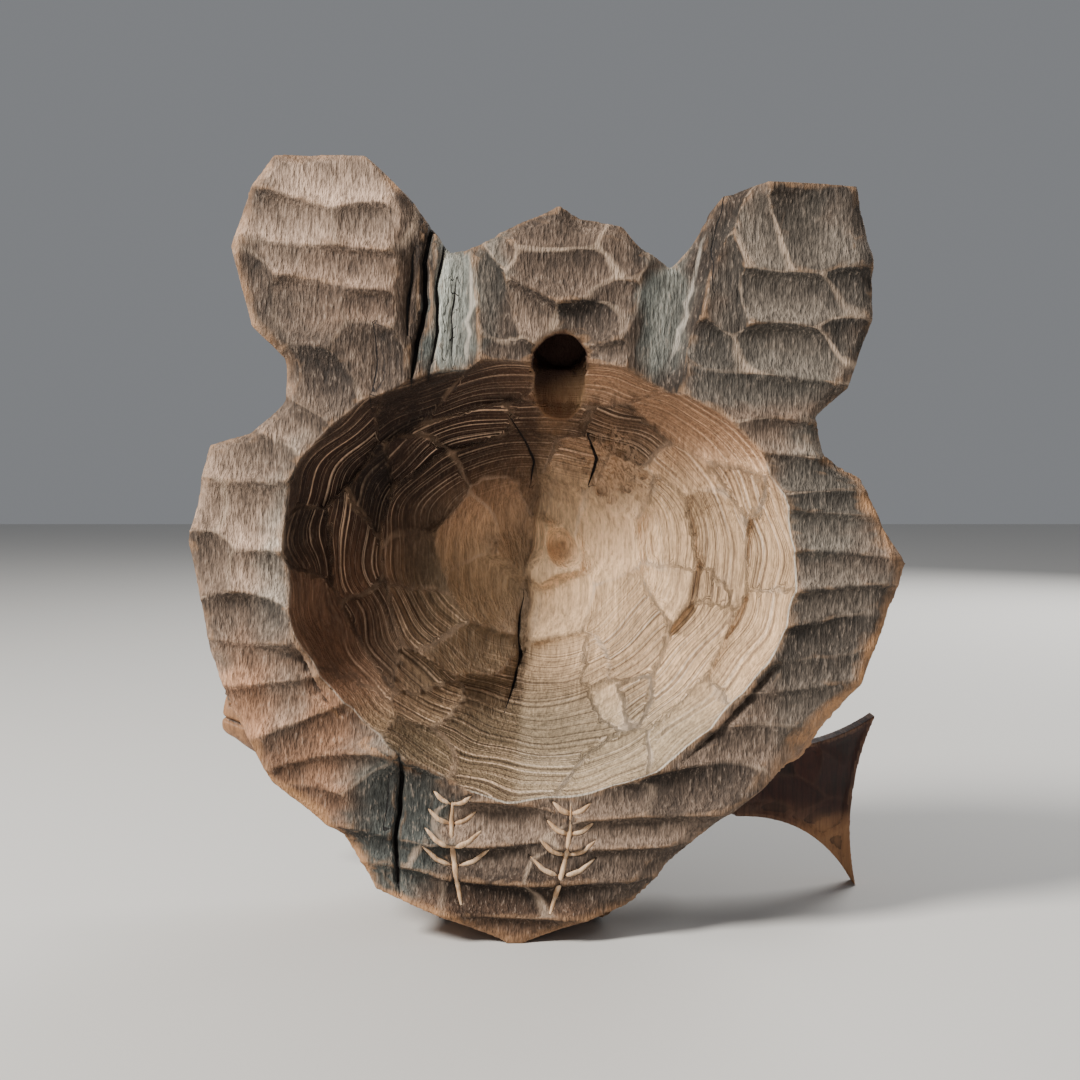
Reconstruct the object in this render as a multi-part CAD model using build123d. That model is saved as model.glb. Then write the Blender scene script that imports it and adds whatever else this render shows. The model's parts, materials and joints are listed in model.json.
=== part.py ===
from build123d import *
import math
import os

# A bear's head carved from one block of soft wood as a wall mask, hollowed from behind, with glass
# eyes and pegged fangs, and a salmon carved apart and pushed sideways through its jaws.
#
# Every piece is drawn in the mask's own frame, in millimetres: the tip of the chin is the origin,
# the flat back of the rim is the plane y = 0, the face looks towards -Y and the crown is up +Z.
# The finished mask then leans as it stands, and its standing plane is cut at z = 0.

# ---- overall sizes ----
MASK_WIDTH = 215.0  # cheek to cheek
MASK_HEIGHT = 233.0  # chin to the top of the ears
FACE_DEPTH = 62.0  # back of the rim to the middle of the brow
MUZZLE_DEPTH = 104.0  # back of the rim to the end of the upper jaw
LEAN = 3.4  # degrees that the crown leans to the mask's right as it stands

# ---- the pattern that the outline is drawn on ----
PATTERN_WIDTH = 215.0
PATTERN_HEIGHT = 233.0
FACE_CENTRE_Z = 112.0
FACE_RADIUS = 118.0  # the dome of the face, measured across the grain
EAR_DEPTH = 38.0

# ---- the hollow behind the face ----
HOLLOW_HALF_WIDTH = 78.0
HOLLOW_HALF_HEIGHT = 66.0
HOLLOW_DEPTH = 43.0
HOLLOW_CENTRE_Z = 110.0
HOLLOW_RUN_OUT = 12.0  # the scoop's centre stands this far behind the rim
NOSE_HOLLOW_DEPTH = 52.0
NOSE_HOLLOW_HALF_WIDTH = 24.0
NOSE_HOLLOW_HALF_HEIGHT = 48.0

# ---- the hole that it hangs by ----
HANGING_RADIUS = 8.0
HANGING_DEPTH = 32.0
HANGING_RISE = 20.0  # degrees that the hole climbs as it goes in
HANGING_X = -3.0
HANGING_Z = 173.0
LEAD_IN_RADIUS = 7.6
LEAD_IN_RISE = 62.0  # degrees: the scoop that lets a nail in from below
LEAD_IN_LENGTH = 22.0

# ---- the eyes ----
EYE_X = 33.0
EYE_Z = 136.0
EYE_TURN = 24.0  # degrees that each eye looks outwards
EYE_RADIUS = 7.0
EYE_BOSS_RADIUS = 13.5
EYE_BOSS_Y = -51.0
EYE_SOCKET_DEPTH = 5.0
EYE_DRUM = 3.0  # the glass's straight side, below its bulge
PUPIL_THICKNESS = 1.0
PUPIL_RADIUS = 6.2
EYE_BULGE = 3.4

# ---- the jaws ----
JAW_HALF_GAP = 15.0  # from the salmon's axis to the jaws' facing sides
UPPER_JAW_HEIGHT = 46.0
MUZZLE_ROOT_WIDTH = 80.0
MUZZLE_TIP_WIDTH = 50.0
LOWER_JAW_DEPTH = 98.0
LOWER_JAW_ROOT_WIDTH = 70.0
LOWER_JAW_TIP_WIDTH = 42.0
JAW_CORNER = 13.0
MOUTH_Z = 46.0  # height of the salmon's axis at the middle of the mouth
MOUTH_BACK = 66.0  # back of the rim to the fleshy back of the mouth

# ---- the fangs ----
FANG_RADIUS = 3.8
FANG_LENGTH = 16.0
FANG_TIP_RADIUS = 0.9
FANG_ROOT = 9.0
UPPER_FANG_X = 18.5
LOWER_FANG_X = 12.5
FANG_GAP = 1.0  # between a fang and the salmon's side

# ---- the salmon ----
SALMON_Y = -70.0
SALMON_SLOPE = 4.2  # degrees that its snout is held above its tail
SALMON_HEIGHT = 41.0
SALMON_THICKNESS = 26.0
SNOUT_X = 105.0
TAIL_ROOT_X = -74.0
TAIL_ROOT_HALF_HEIGHT = 12.5
TAIL_END_X = -117.0
TAIL_HALF_HEIGHT = 29.0
TAIL_THICKNESS = 8.0
TAIL_NOTCH = 4.0
DORSAL_HEIGHT = 7.0
SALMON_EYE_RADIUS = 2.6
SALMON_EYE_X = 84.0
SALMON_EYE_RISE = 4.0

# ---- fits ----
SALMON_CLEARANCE = 0.4  # round the salmon in the jaws
PEG_CLEARANCE = 0.05  # round each fang, eye and tack
STANDING_CUT = 0.8  # depth of wood planed off under the chin and jaw


def on_mask(x, z):
    """A place on the pattern, carried to a mask of the chosen width and height."""
    return x * MASK_WIDTH / PATTERN_WIDTH, z * MASK_HEIGHT / PATTERN_HEIGHT


def ellipsoid(centre, half_sizes):
    return Pos(*centre) * scale(Sphere(1), by=half_sizes)


def face_y(x, z):
    """Depth of the plain dome of the face at a place on the mask."""
    centre_z = on_mask(0, FACE_CENTRE_Z)[1]
    reach = math.hypot(x * PATTERN_WIDTH / MASK_WIDTH, (z - centre_z) * PATTERN_HEIGHT / MASK_HEIGHT)
    return -FACE_DEPTH * math.sqrt(max(0.0, 1 - (reach / FACE_RADIUS) ** 2))


# The ragged fur edge, from the chin up the mask's left side, over the crown and down its right.
LEFT_CHEEK = [
    (0, -1), (11, 3), (24, 8), (43, 14), (54, 29), (76, 45), (88, 66), (96, 83),
    (105, 116), (102, 133), (100, 145), (87, 150), (78, 160), (79, 172),
]
LEFT_EAR = [(89, 181), (96, 204), (92, 220), (85, 232), (58, 233), (47, 224), (37, 215), (32, 207)]
CROWN = [(24, 209), (10, 217), (0, 222), (-7, 219), (-19, 217), (-26, 210), (-34, 207)]
RIGHT_EAR = [(-40, 213), (-48, 228), (-61, 232), (-88, 233), (-94, 212), (-95, 194), (-89, 173)]
RIGHT_CHEEK = [
    (-80, 164), (-84, 153), (-95, 147), (-102, 133), (-110, 122), (-108, 111), (-101, 92),
    (-99, 85), (-80, 66), (-71, 52), (-52, 34), (-35, 14), (-18, 7),
]
# Each ear's own piece of the block runs down inside the cheek to these places.
EAR_ROOT = [(31, 168), (70, 150)]


def plate(points, depth):
    """An outline on the pattern, cut through from the back of the rim to a depth."""
    outline = Polyline(*[on_mask(*p) for p in points], close=True)
    return extrude(Plane.XZ * make_face(outline), amount=depth)


def ear(points, side):
    x, z = on_mask(side * 66, 194)
    lobe = plate(points, EAR_DEPTH) & ellipsoid((x, 0, z), (44, EAR_DEPTH, 52))
    cup = ellipsoid((x + side * 2, -EAR_DEPTH - 4, z + 12), (21, 15, 23))
    return lobe - cup


def face():
    """The domed face inside the fur edge, with its two ears."""
    edge = LEFT_CHEEK + LEFT_EAR + CROWN + RIGHT_EAR + RIGHT_CHEEK
    centre = (0, 0, on_mask(0, FACE_CENTRE_Z)[1])
    across = FACE_RADIUS * MASK_WIDTH / PATTERN_WIDTH
    along = FACE_RADIUS * MASK_HEIGHT / PATTERN_HEIGHT
    dome = plate(edge, FACE_DEPTH) & ellipsoid(centre, (across, FACE_DEPTH, along))
    left = ear(LEFT_EAR + EAR_ROOT + LEFT_CHEEK[-2:], 1)
    right_root = [(-x, z) for x, z in reversed(EAR_ROOT)]
    right = ear(RIGHT_EAR + [RIGHT_CHEEK[0]] + right_root, -1)
    return dome + left + right


def jaw(back, front, root_width, tip_width, height, low_z):
    """A tapering jaw with a level face, from one depth to another."""
    middle_z = low_z + height / 2
    middle = (back + front) / 2
    sections = [
        (back, root_width, height),
        (middle, (root_width + tip_width) / 2 + 3, height - 2),
        (front, tip_width, height * 0.72),
    ]
    faces = []
    for depth, width, tall in sections:
        plane = Plane(origin=(0, -depth, middle_z), x_dir=(1, 0, 0), z_dir=(0, -1, 0))
        faces.append(plane * RectangleRounded(width, tall, min(JAW_CORNER, tall / 2 - 1)))
    return loft(faces)


def mouth_z():
    return on_mask(0, MOUTH_Z)[1]


def muzzle():
    """Both jaws, the nose and the flesh behind the mouth."""
    upper_low = mouth_z() + JAW_HALF_GAP
    lower_top = mouth_z() - JAW_HALF_GAP
    root = FACE_DEPTH - 22
    upper = jaw(root, MUZZLE_DEPTH, MUZZLE_ROOT_WIDTH, MUZZLE_TIP_WIDTH, UPPER_JAW_HEIGHT, upper_low)
    lower_height = lower_top + STANDING_CUT
    lower = jaw(
        root - 18, LOWER_JAW_DEPTH, LOWER_JAW_ROOT_WIDTH, LOWER_JAW_TIP_WIDTH, lower_height, -STANDING_CUT
    )
    nose = ellipsoid((0, -MUZZLE_DEPTH + 4, upper_low + UPPER_JAW_HEIGHT - 12), (16, 10, 9))
    flesh = ellipsoid((0, -MOUTH_BACK + 18, mouth_z()), (38, 18, 26))
    return upper + lower + nose + flesh


def brow():
    """The brows, the cheeks and the mounds that carry the eyes."""
    bosses = []
    for side in (-1, 1):
        x, z = on_mask(side * EYE_X, EYE_Z)
        bosses.append(Pos(x, EYE_BOSS_Y, z) * Sphere(EYE_BOSS_RADIUS))
        bosses.append(ellipsoid((x - side * 2, EYE_BOSS_Y - 2, z + 14), (26, 13, 10)))
        x, z = on_mask(side * 54, 96)
        bosses.append(ellipsoid((x, -32, z), (34, 22, 38)))
    return bosses


def salmon_place():
    """Carries a shape drawn along the salmon's own axis into the mask's jaws."""
    return Pos(0, SALMON_Y, mouth_z()) * Rot(0, -SALMON_SLOPE, 0)


def salmon_seat():
    """What the jaws are cut with: the salmon's fullest section, run right through."""
    section = Ellipse(SALMON_HEIGHT / 2 + SALMON_CLEARANCE, SALMON_THICKNESS / 2 + SALMON_CLEARANCE)
    length = MASK_WIDTH
    across = Plane(origin=(-length / 2, 0, 0), x_dir=(0, 0, 1), z_dir=(1, 0, 0))
    return salmon_place() * extrude(across * section, amount=length)


def hollow():
    z = on_mask(0, HOLLOW_CENTRE_Z)[1]
    reach = HOLLOW_DEPTH + HOLLOW_RUN_OUT
    spread = 1 / math.sqrt(1 - (HOLLOW_RUN_OUT / reach) ** 2)
    half_width, half_height = on_mask(HOLLOW_HALF_WIDTH * spread, HOLLOW_HALF_HEIGHT * spread)
    bowl = ellipsoid((0, HOLLOW_RUN_OUT, z), (half_width, reach, half_height))
    nose = ellipsoid((1, 0, z - 6), (NOSE_HOLLOW_HALF_WIDTH, NOSE_HOLLOW_DEPTH, NOSE_HOLLOW_HALF_HEIGHT))
    return bowl + nose


def rising(origin, rise):
    """A plane whose normal goes into the block, climbing by some degrees."""
    a = math.radians(rise)
    return Plane(origin=origin, x_dir=(1, 0, 0), z_dir=(0, -math.cos(a), math.sin(a)))


def hanging_mouth():
    x, z = on_mask(HANGING_X, HANGING_Z)
    return x, 0.0, z


def hanging_hole():
    """A slanting blind hole, and below it the scoop that a nail enters by."""
    mouth = hanging_mouth()
    bore = extrude(rising(mouth, HANGING_RISE) * Circle(HANGING_RADIUS), amount=HANGING_DEPTH)
    clear = extrude(rising(mouth, HANGING_RISE) * Circle(HANGING_RADIUS), amount=-HANGING_DEPTH)
    a = math.radians(HANGING_RISE)
    middle = (mouth[0], -HANGING_DEPTH * 0.4 * math.cos(a), mouth[2] + HANGING_DEPTH * 0.4 * math.sin(a))
    lead_in = extrude(rising(middle, LEAD_IN_RISE) * Circle(LEAD_IN_RADIUS), amount=-LEAD_IN_LENGTH)
    return bore + clear + lead_in


def eye_plane(side, out):
    """A plane across an eye's line of sight, some way out from the middle of its mound."""
    x, z = on_mask(side * EYE_X, EYE_Z)
    a = math.radians(EYE_TURN)
    look = (side * math.sin(a), -math.cos(a), 0)
    origin = (x + look[0] * out, EYE_BOSS_Y + look[1] * out, z)
    return Plane(origin=origin, x_dir=(look[1], -look[0], 0), z_dir=look)


EYE_SEAT = EYE_BOSS_RADIUS - EYE_SOCKET_DEPTH


def eye_socket(side):
    radius = EYE_RADIUS + PEG_CLEARANCE
    return extrude(eye_plane(side, EYE_SEAT) * Circle(radius), amount=3 * EYE_SOCKET_DEPTH)


def pupil(side):
    """The painted disc behind the glass."""
    return extrude(eye_plane(side, EYE_SEAT) * Circle(PUPIL_RADIUS), amount=PUPIL_THICKNESS)


def eye_glass(side):
    """A glass dome with a recess on its back for the pupil's disc."""
    drum = extrude(eye_plane(side, EYE_SEAT) * Circle(EYE_RADIUS), amount=EYE_DRUM)
    ball_radius = (EYE_RADIUS**2 + EYE_BULGE**2) / (2 * EYE_BULGE)
    ball = eye_plane(side, EYE_SEAT + EYE_DRUM + EYE_BULGE - ball_radius) * Sphere(ball_radius)
    ahead = extrude(eye_plane(side, EYE_SEAT + EYE_DRUM) * Circle(EYE_RADIUS), amount=EYE_BULGE + 1)
    disc = Circle(PUPIL_RADIUS + PEG_CLEARANCE)
    recess = extrude(eye_plane(side, EYE_SEAT) * disc, amount=PUPIL_THICKNESS)
    return drum + (ahead & ball) - recess


def fang_y():
    return SALMON_Y - SALMON_THICKNESS / 2 - FANG_GAP - FANG_RADIUS


def fang_place(side, upper):
    """Where a fang leaves its jaw, turned so that the fang's +Z runs to its tip."""
    if upper:
        return Pos(side * UPPER_FANG_X, fang_y(), mouth_z() + JAW_HALF_GAP) * Rot(180, 0, 0)
    return Pos(side * LOWER_FANG_X, fang_y(), mouth_z() - JAW_HALF_GAP)


def fang(side, upper):
    tip = FANG_LENGTH
    profile = make_face(
        Polyline(
            (0, -FANG_ROOT), (FANG_RADIUS, -FANG_ROOT), (FANG_RADIUS, 2), (FANG_RADIUS * 0.72, tip * 0.6),
            (FANG_TIP_RADIUS, tip), (0, tip), close=True,
        )
    )
    return fang_place(side, upper) * revolve(Plane.XZ * profile, Axis.Z)


def fang_socket(side, upper):
    shaft = Pos(0, 0, -FANG_ROOT) * Cylinder(
        FANG_RADIUS + PEG_CLEARANCE, FANG_ROOT + FANG_LENGTH, align=(Align.CENTER, Align.CENTER, Align.MIN)
    )
    return fang_place(side, upper) * shaft


SIDES = {"left": 1, "right": -1}


def bear_head():
    head = face() + muzzle()
    for lump in brow():
        head = head + lump
    head = head - hollow() - salmon_seat() - hanging_hole()
    for side in SIDES.values():
        head = head - eye_socket(side)
        for upper in (True, False):
            head = head - fang_socket(side, upper)
    behind = Pos(0, MASK_WIDTH / 2, MASK_HEIGHT / 2) * Box(2 * MASK_WIDTH, MASK_WIDTH, 2 * MASK_HEIGHT)
    return head - behind


def salmon_body():
    """A run of oval sections from the root of the tail to the snout."""
    root_x = TAIL_ROOT_X
    tail_side = [(root_x - 8, 0.56, 0.4), (root_x * 0.82, 0.68, 0.58), (root_x * 0.45, 0.88, 0.84)]
    head_side = [(0, 1, 1), (SNOUT_X * 0.35, 0.96, 0.97), (SNOUT_X * 0.7, 0.82, 0.84)]
    snout = [(SNOUT_X * 0.92, 0.54, 0.56), (SNOUT_X, 0.3, 0.3)]
    faces = []
    for x, tall, thick in tail_side + head_side + snout:
        plane = Plane(origin=(x, 0, 0), x_dir=(0, 0, 1), z_dir=(1, 0, 0))
        faces.append(plane * Ellipse(tall * SALMON_HEIGHT / 2, thick * SALMON_THICKNESS / 2))
    return loft(faces)


def standing_drop(x):
    """How far below the salmon's axis the standing plane lies, at a place along the axis."""
    lean, slope = math.radians(LEAN), math.radians(SALMON_SLOPE + LEAN)
    return (mouth_z() * math.cos(lean) + x * math.sin(slope)) / math.cos(slope)


def salmon_tail():
    """The forked tail: its lower lobe is as long as it takes to reach the standing plane."""
    low = -standing_drop(TAIL_END_X) - STANDING_CUT
    root = TAIL_ROOT_HALF_HEIGHT
    waist_x = TAIL_ROOT_X - 17
    upper_tip = (TAIL_END_X, TAIL_HALF_HEIGHT)
    lower_tip = (TAIL_END_X - 2, low)
    edge = make_face(
        Wire(
            [
                Spline((TAIL_ROOT_X, root), (waist_x, root + 2), upper_tip),
                ThreePointArc(upper_tip, (TAIL_END_X + TAIL_NOTCH, 4), lower_tip),
                Spline(lower_tip, (waist_x, -root + 0.5), (TAIL_ROOT_X, -root)),
                Line((TAIL_ROOT_X, -root), (TAIL_ROOT_X, root)),
            ]
        )
    )
    return extrude(Plane.XZ * edge, amount=TAIL_THICKNESS / 2, both=True)


def salmon_eye_plane(side):
    """A plane facing out of one of the salmon's cheeks, just inside its skin."""
    origin = (SALMON_EYE_X, side * SALMON_THICKNESS * 0.28, SALMON_EYE_RISE)
    return Plane(origin=origin, x_dir=(1, 0, 0), z_dir=(0, side, 0))


def salmon_eye(side):
    """A round-headed tack in the salmon's cheek."""
    reach = SALMON_THICKNESS * 0.1
    shank = extrude(salmon_eye_plane(side) * Circle(SALMON_EYE_RADIUS), amount=reach)
    crown = extrude(salmon_eye_plane(side).offset(reach) * Circle(SALMON_EYE_RADIUS), amount=0.8, taper=35)
    return salmon_place() * (shank + crown)


def salmon():
    dorsal = make_face(
        Polyline((-56, 8), (-53, 14 + DORSAL_HEIGHT), (-43, 17 + DORSAL_HEIGHT), (-39, 8), close=True)
    )
    anal = make_face(Polyline((-66, -6), (-62, -21), (-54, -22), (-46, -8), close=True))
    fins = [extrude(Plane.XZ * fin, amount=2.2, both=True) for fin in (dorsal, anal)]
    body = salmon_body() + salmon_tail() + fins[0] + fins[1]
    hole = Circle(SALMON_EYE_RADIUS + PEG_CLEARANCE)
    for side in SIDES.values():
        body = body - extrude(salmon_eye_plane(side) * hole, amount=SALMON_THICKNESS)
    return salmon_place() * body


def pieces():
    made = {"bear_head": bear_head(), "salmon": salmon()}
    for name, side in SIDES.items():
        made[f"{name}_eye_glass"] = eye_glass(side)
        made[f"{name}_eye_pupil"] = pupil(side)
        made[f"upper_{name}_fang"] = fang(side, True)
        made[f"lower_{name}_fang"] = fang(side, False)
    made["salmon_back_eye"] = salmon_eye(1)
    made["salmon_front_eye"] = salmon_eye(-1)
    return made


def stand(made):
    """Leans every piece as the mask stands, planes off what is below the table, and centres the lot."""
    lean = Rot(0, -LEAN, 0)
    floor = Pos(0, 0, -MASK_HEIGHT / 2) * Box(3 * MASK_WIDTH, 3 * MASK_WIDTH, MASK_HEIGHT)
    stood = {name: lean * shape for name, shape in made.items()}
    for name in ("bear_head", "salmon"):
        stood[name] = stood[name] - floor
    box = Compound(children=[Compound(s.solids()) for s in stood.values()]).bounding_box()
    centre = Pos(-(box.min.X + box.max.X) / 2, -(box.min.Y + box.max.Y) / 2, 0)
    return {name: centre * shape for name, shape in stood.items()}, centre * lean


def main():
    os.makedirs("parts", exist_ok=True)
    stood, place = stand(pieces())
    for name, shape in stood.items():
        export_step(shape, f"parts/{name}.step")
        print(name, len(shape.solids()), round(shape.volume))
    return stood, place


if __name__ == "__main__":
    main()
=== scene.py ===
import json
import math

import bmesh
import bpy
import numpy as np
import openvdb as vdb
from mathutils import Matrix, Vector


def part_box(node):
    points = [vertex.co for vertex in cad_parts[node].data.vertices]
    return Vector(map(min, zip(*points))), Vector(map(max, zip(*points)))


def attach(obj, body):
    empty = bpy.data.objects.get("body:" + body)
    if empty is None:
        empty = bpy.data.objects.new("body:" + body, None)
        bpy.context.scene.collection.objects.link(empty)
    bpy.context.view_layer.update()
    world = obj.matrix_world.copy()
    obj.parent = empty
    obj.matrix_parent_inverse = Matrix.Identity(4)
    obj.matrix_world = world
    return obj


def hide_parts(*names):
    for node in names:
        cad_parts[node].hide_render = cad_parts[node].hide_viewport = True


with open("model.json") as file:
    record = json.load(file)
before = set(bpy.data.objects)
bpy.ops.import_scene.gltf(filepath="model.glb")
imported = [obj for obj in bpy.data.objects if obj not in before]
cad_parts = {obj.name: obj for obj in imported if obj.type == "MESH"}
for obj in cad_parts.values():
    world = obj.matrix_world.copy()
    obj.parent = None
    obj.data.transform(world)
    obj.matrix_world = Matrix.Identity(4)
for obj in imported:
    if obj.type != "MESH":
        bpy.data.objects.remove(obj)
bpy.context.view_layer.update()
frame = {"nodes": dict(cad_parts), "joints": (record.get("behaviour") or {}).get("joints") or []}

# A carved bear's head mask, hollowed from behind, with a salmon in its jaws. The wood is carved here
# as a block of small cells, each holding its distance to the skin, and a tool takes away the cells
# that it passes through. Sizes inside a block are millimetres in the mask's own frame: the chin's tip
# is the origin, the back is the plane y = 0, the face looks along -Y and the crown is up +Z.

MM = 0.001
HEAD_CELL = 0.7
SALMON_CELL = 0.5
HEAD_TRIANGLES, SALMON_TRIANGLES = 190000, 120000
# The low and high corners of the space that each block fills.
HEAD_BLOCK = (-114, -113, -4), (112, 3, 238)
SALMON_BLOCK = (-121, -17, -35), (109, 17, 35)


# ---------- where the mask and the salmon lie ----------

def middle_of(node):
    """The middle of a CAD node's box."""
    low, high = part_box(node)
    return (Vector(low) + Vector(high)) / 2


left_eye, right_eye = middle_of("left_eye_glass"), middle_of("right_eye_glass")
LEAN = math.atan2(left_eye.z - right_eye.z, left_eye.x - right_eye.x)
eyes_middle = (left_eye + right_eye) / 2
EYE_Z = eyes_middle.z / math.cos(LEAN) / MM
EYE_X = (left_eye - right_eye).length / 2 / MM
chin = Vector((eyes_middle.x + EYE_Z * MM * math.sin(LEAN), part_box("bear_head")[1][1], 0))
mask_place = Matrix.Translation(chin) @ Matrix.Rotation(-LEAN, 4, "Y") @ Matrix.Scale(MM, 4)

fangs = [f"{jaw}_{side}_fang" for jaw in ("upper", "lower") for side in ("left", "right")]
mouth = sum((middle_of(fang) for fang in fangs), Vector()) / len(fangs)
mouth.y = middle_of("salmon").y
snout_way = -Vector(frame["joints"][0]["axis"])
back_way = Vector((0, 1, 0))
salmon_turn = Matrix((snout_way, back_way, snout_way.cross(back_way))).transposed().to_4x4()
salmon_place = Matrix.Translation(mouth) @ salmon_turn @ Matrix.Scale(MM, 4)
in_mask = mask_place.inverted()
MOUTH_Z = (in_mask @ mouth).z
SALMON_Y = (in_mask @ mouth).y


# ---------- a block of cells and what tools do to it ----------

def mesh_arrays(thing):
    """A mesh's corners and triangles as arrays."""
    mesh = thing.data
    mesh.calc_loop_triangles()
    points = np.empty(len(mesh.vertices) * 3, np.float32)
    mesh.vertices.foreach_get("co", points)
    triangles = np.empty(len(mesh.loop_triangles) * 3, np.int32)
    mesh.loop_triangles.foreach_get("vertices", triangles)
    return points.reshape(-1, 3), triangles.reshape(-1, 3)


def carried(points, place):
    """Points moved by a 4x4 matrix."""
    m = np.array(place, dtype=np.float64)
    return points @ m[:3, :3].T + m[:3, 3]


class Block:
    """Cells that hold their distance to the skin in millimetres, below zero inside the wood."""

    def __init__(self, low, high, cell):
        self.low, self.cell = np.array(low, np.float32), cell
        self.counts = tuple(int((h - l) / cell) + 2 for l, h in zip(low, high))
        self.depth = None

    def cast(self, node, place, band):
        """Fills the block with a CAD node's shape, true within a band of its skin."""
        points, triangles = mesh_arrays(frame["nodes"][node])
        cells = (carried(points, place.inverted()) - self.low) / self.cell
        width = band / self.cell
        grid = vdb.FloatGrid.createLevelSetFromPolygons(
            cells.astype(np.float32),
            triangles=triangles.astype(np.uint32),
            exBandWidth=width,
            inBandWidth=width,
        )
        self.depth = np.empty(self.counts, np.float32)
        grid.copyToArray(self.depth)
        self.depth *= self.cell

    def window(self, low, high):
        """The cells of a box, and their x, y and z ready to be combined."""
        first = [max(0, int((l - o) / self.cell)) for l, o in zip(low, self.low)]
        last = [min(n, int((h - o) / self.cell) + 2) for h, o, n in zip(high, self.low, self.counts)]
        axes = []
        for i in range(3):
            line = self.low[i] + self.cell * np.arange(first[i], max(first[i] + 1, last[i]), dtype=np.float32)
            axes.append(line.reshape([-1 if j == i else 1 for j in range(3)]))
        return tuple(slice(a, max(a + 1, b)) for a, b in zip(first, last)), axes

    def take(self, low, high, tool):
        """Takes a tool's shape away inside a box. tool gives distances from x, y and z."""
        cells, axes = self.window(low, high)
        self.depth[cells] = np.maximum(self.depth[cells], -tool(*axes))

    def build(self, low, high, lump, blend=0.0):
        """Leaves a lump standing inside a box, with a soft joint of a given width."""
        cells, axes = self.window(low, high)
        old, new = self.depth[cells], lump(*axes)
        if blend > 0:
            mixed = np.maximum(blend - np.abs(old - new), 0) / blend
            self.depth[cells] = np.minimum(old, new) - mixed * mixed * blend / 4
        else:
            self.depth[cells] = np.minimum(old, new)

    def lump(self, centre, radii, blend):
        """Leaves an egg of wood standing, blended into what is round it."""
        reach = [r + blend for r in radii]
        low = [c - r for c, r in zip(centre, reach)]
        high = [c + r for c, r in zip(centre, reach)]
        self.build(low, high, lambda x, y, z: egg(x, y, z, centre, radii), blend)

    def scoop(self, centre, radii):
        """Takes an egg-shaped hollow out."""
        low = [c - r - 1 for c, r in zip(centre, radii)]
        high = [c + r + 1 for c, r in zip(centre, radii)]
        self.take(low, high, lambda x, y, z: egg(x, y, z, centre, radii))

    def groove(self, path, widths):
        """A round-bottomed groove along a path of points, with a half width for each stretch."""
        for (a, b), wide in zip(zip(path, path[1:]), widths):
            low = [min(p, q) - wide - 1 for p, q in zip(a, b)]
            high = [max(p, q) + wide + 1 for p, q in zip(a, b)]
            self.take(low, high, lambda x, y, z: rod(x, y, z, a, b) - wide)

    def sample(self, field, points):
        """A field's values at points in the block's own frame."""
        cells = np.rint((points - self.low) / self.cell).astype(np.int64)
        for i, n in enumerate(field.shape):
            np.clip(cells[:, i], 0, n - 1, out=cells[:, i])
        return field[cells[:, 0], cells[:, 1], cells[:, 2]]


def egg(x, y, z, centre, radii):
    """Distance to an ellipsoid, near enough close to its skin."""
    a, b, c = ((v - m) / r for v, m, r in zip((x, y, z), centre, radii))
    reach = np.sqrt(a * a + b * b + c * c)
    slope = np.sqrt((a / radii[0]) ** 2 + (b / radii[1]) ** 2 + (c / radii[2]) ** 2) + 1e-6
    return (reach - 1) * reach / slope


def rod(x, y, z, a, b):
    """Distance to the line between two points."""
    along = [q - p for p, q in zip(a, b)]
    size = sum(v * v for v in along)
    t = ((x - a[0]) * along[0] + (y - a[1]) * along[1] + (z - a[2]) * along[2]) / size
    t = np.clip(t, 0, 1)
    return np.sqrt(
        (x - a[0] - t * along[0]) ** 2 + (y - a[1] - t * along[1]) ** 2 + (z - a[2] - t * along[2]) ** 2
    )


def blurred(field, width, cell):
    """A field averaged over a few cells each way, twice over."""
    reach = max(1, int(round(width / cell)))
    for axis in range(3):
        margins = [(reach + 1, reach) if i == axis else (0, 0) for i in range(3)]
        for _ in range(2):
            padded = np.pad(field, margins, mode="edge")
            total = np.cumsum(padded, axis=axis, dtype=np.float32)
            size = field.shape[axis]
            ahead = np.take(total, np.arange(2 * reach + 1, 2 * reach + 1 + size), axis=axis)
            behind = np.take(total, np.arange(size), axis=axis)
            field = (ahead - behind) / (2 * reach + 1)
    return field


def smooth_step(low, high, value):
    """0 at low and 1 at high, easing in and out between them."""
    t = np.clip((value - low) / (high - low), 0, 1)
    return t * t * (3 - 2 * t)


def waves(seed, size, *axes):
    """Slow uneven waves between about -1 and 1, of a given size."""
    rng = np.random.default_rng(seed)
    total = 0
    for k in range(5):
        way = rng.normal(size=len(axes))
        way /= np.linalg.norm(way) * size * rng.uniform(0.6, 1.3) / (2 * math.pi)
        total = total + np.sin(sum(w * a for w, a in zip(way, axes)) + rng.uniform(0, 6.28))
    return total / 3


def hashed(a, b=0.0):
    """A repeatable random number from 0 to 1 for each pair of whole numbers."""
    v = np.sin(a * 12.9898 + b * 78.233) * 43758.5453
    return v - np.floor(v)


# ---------- the back of the mask: its hollow, its rim and their gouge cuts ----------

HOLLOW_MIDDLE_Z = 118.0
HOLLOW_HALF_WIDTH, HOLLOW_UP, HOLLOW_DOWN = 77.5, 58.0, 74.0
BOWL_DEPTH, BOWL_RUN_OUT = 43.0, 12.0
VALLEY_DEPTH, VALLEY_HALF_WIDTH = 11.0, 30.0
RIM_SKIN = 0.3  # how far the highest ridges lie below the back plane
CUT_LIFT = 2.4  # how much a gouge cut has risen at its own edge
CUT_REACH = 1.32  # how far past its stated size a cut runs out into its neighbours
CUT_ENTRY = 1.25  # how much deeper a cut is where the tool went in, at its upper side

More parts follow.
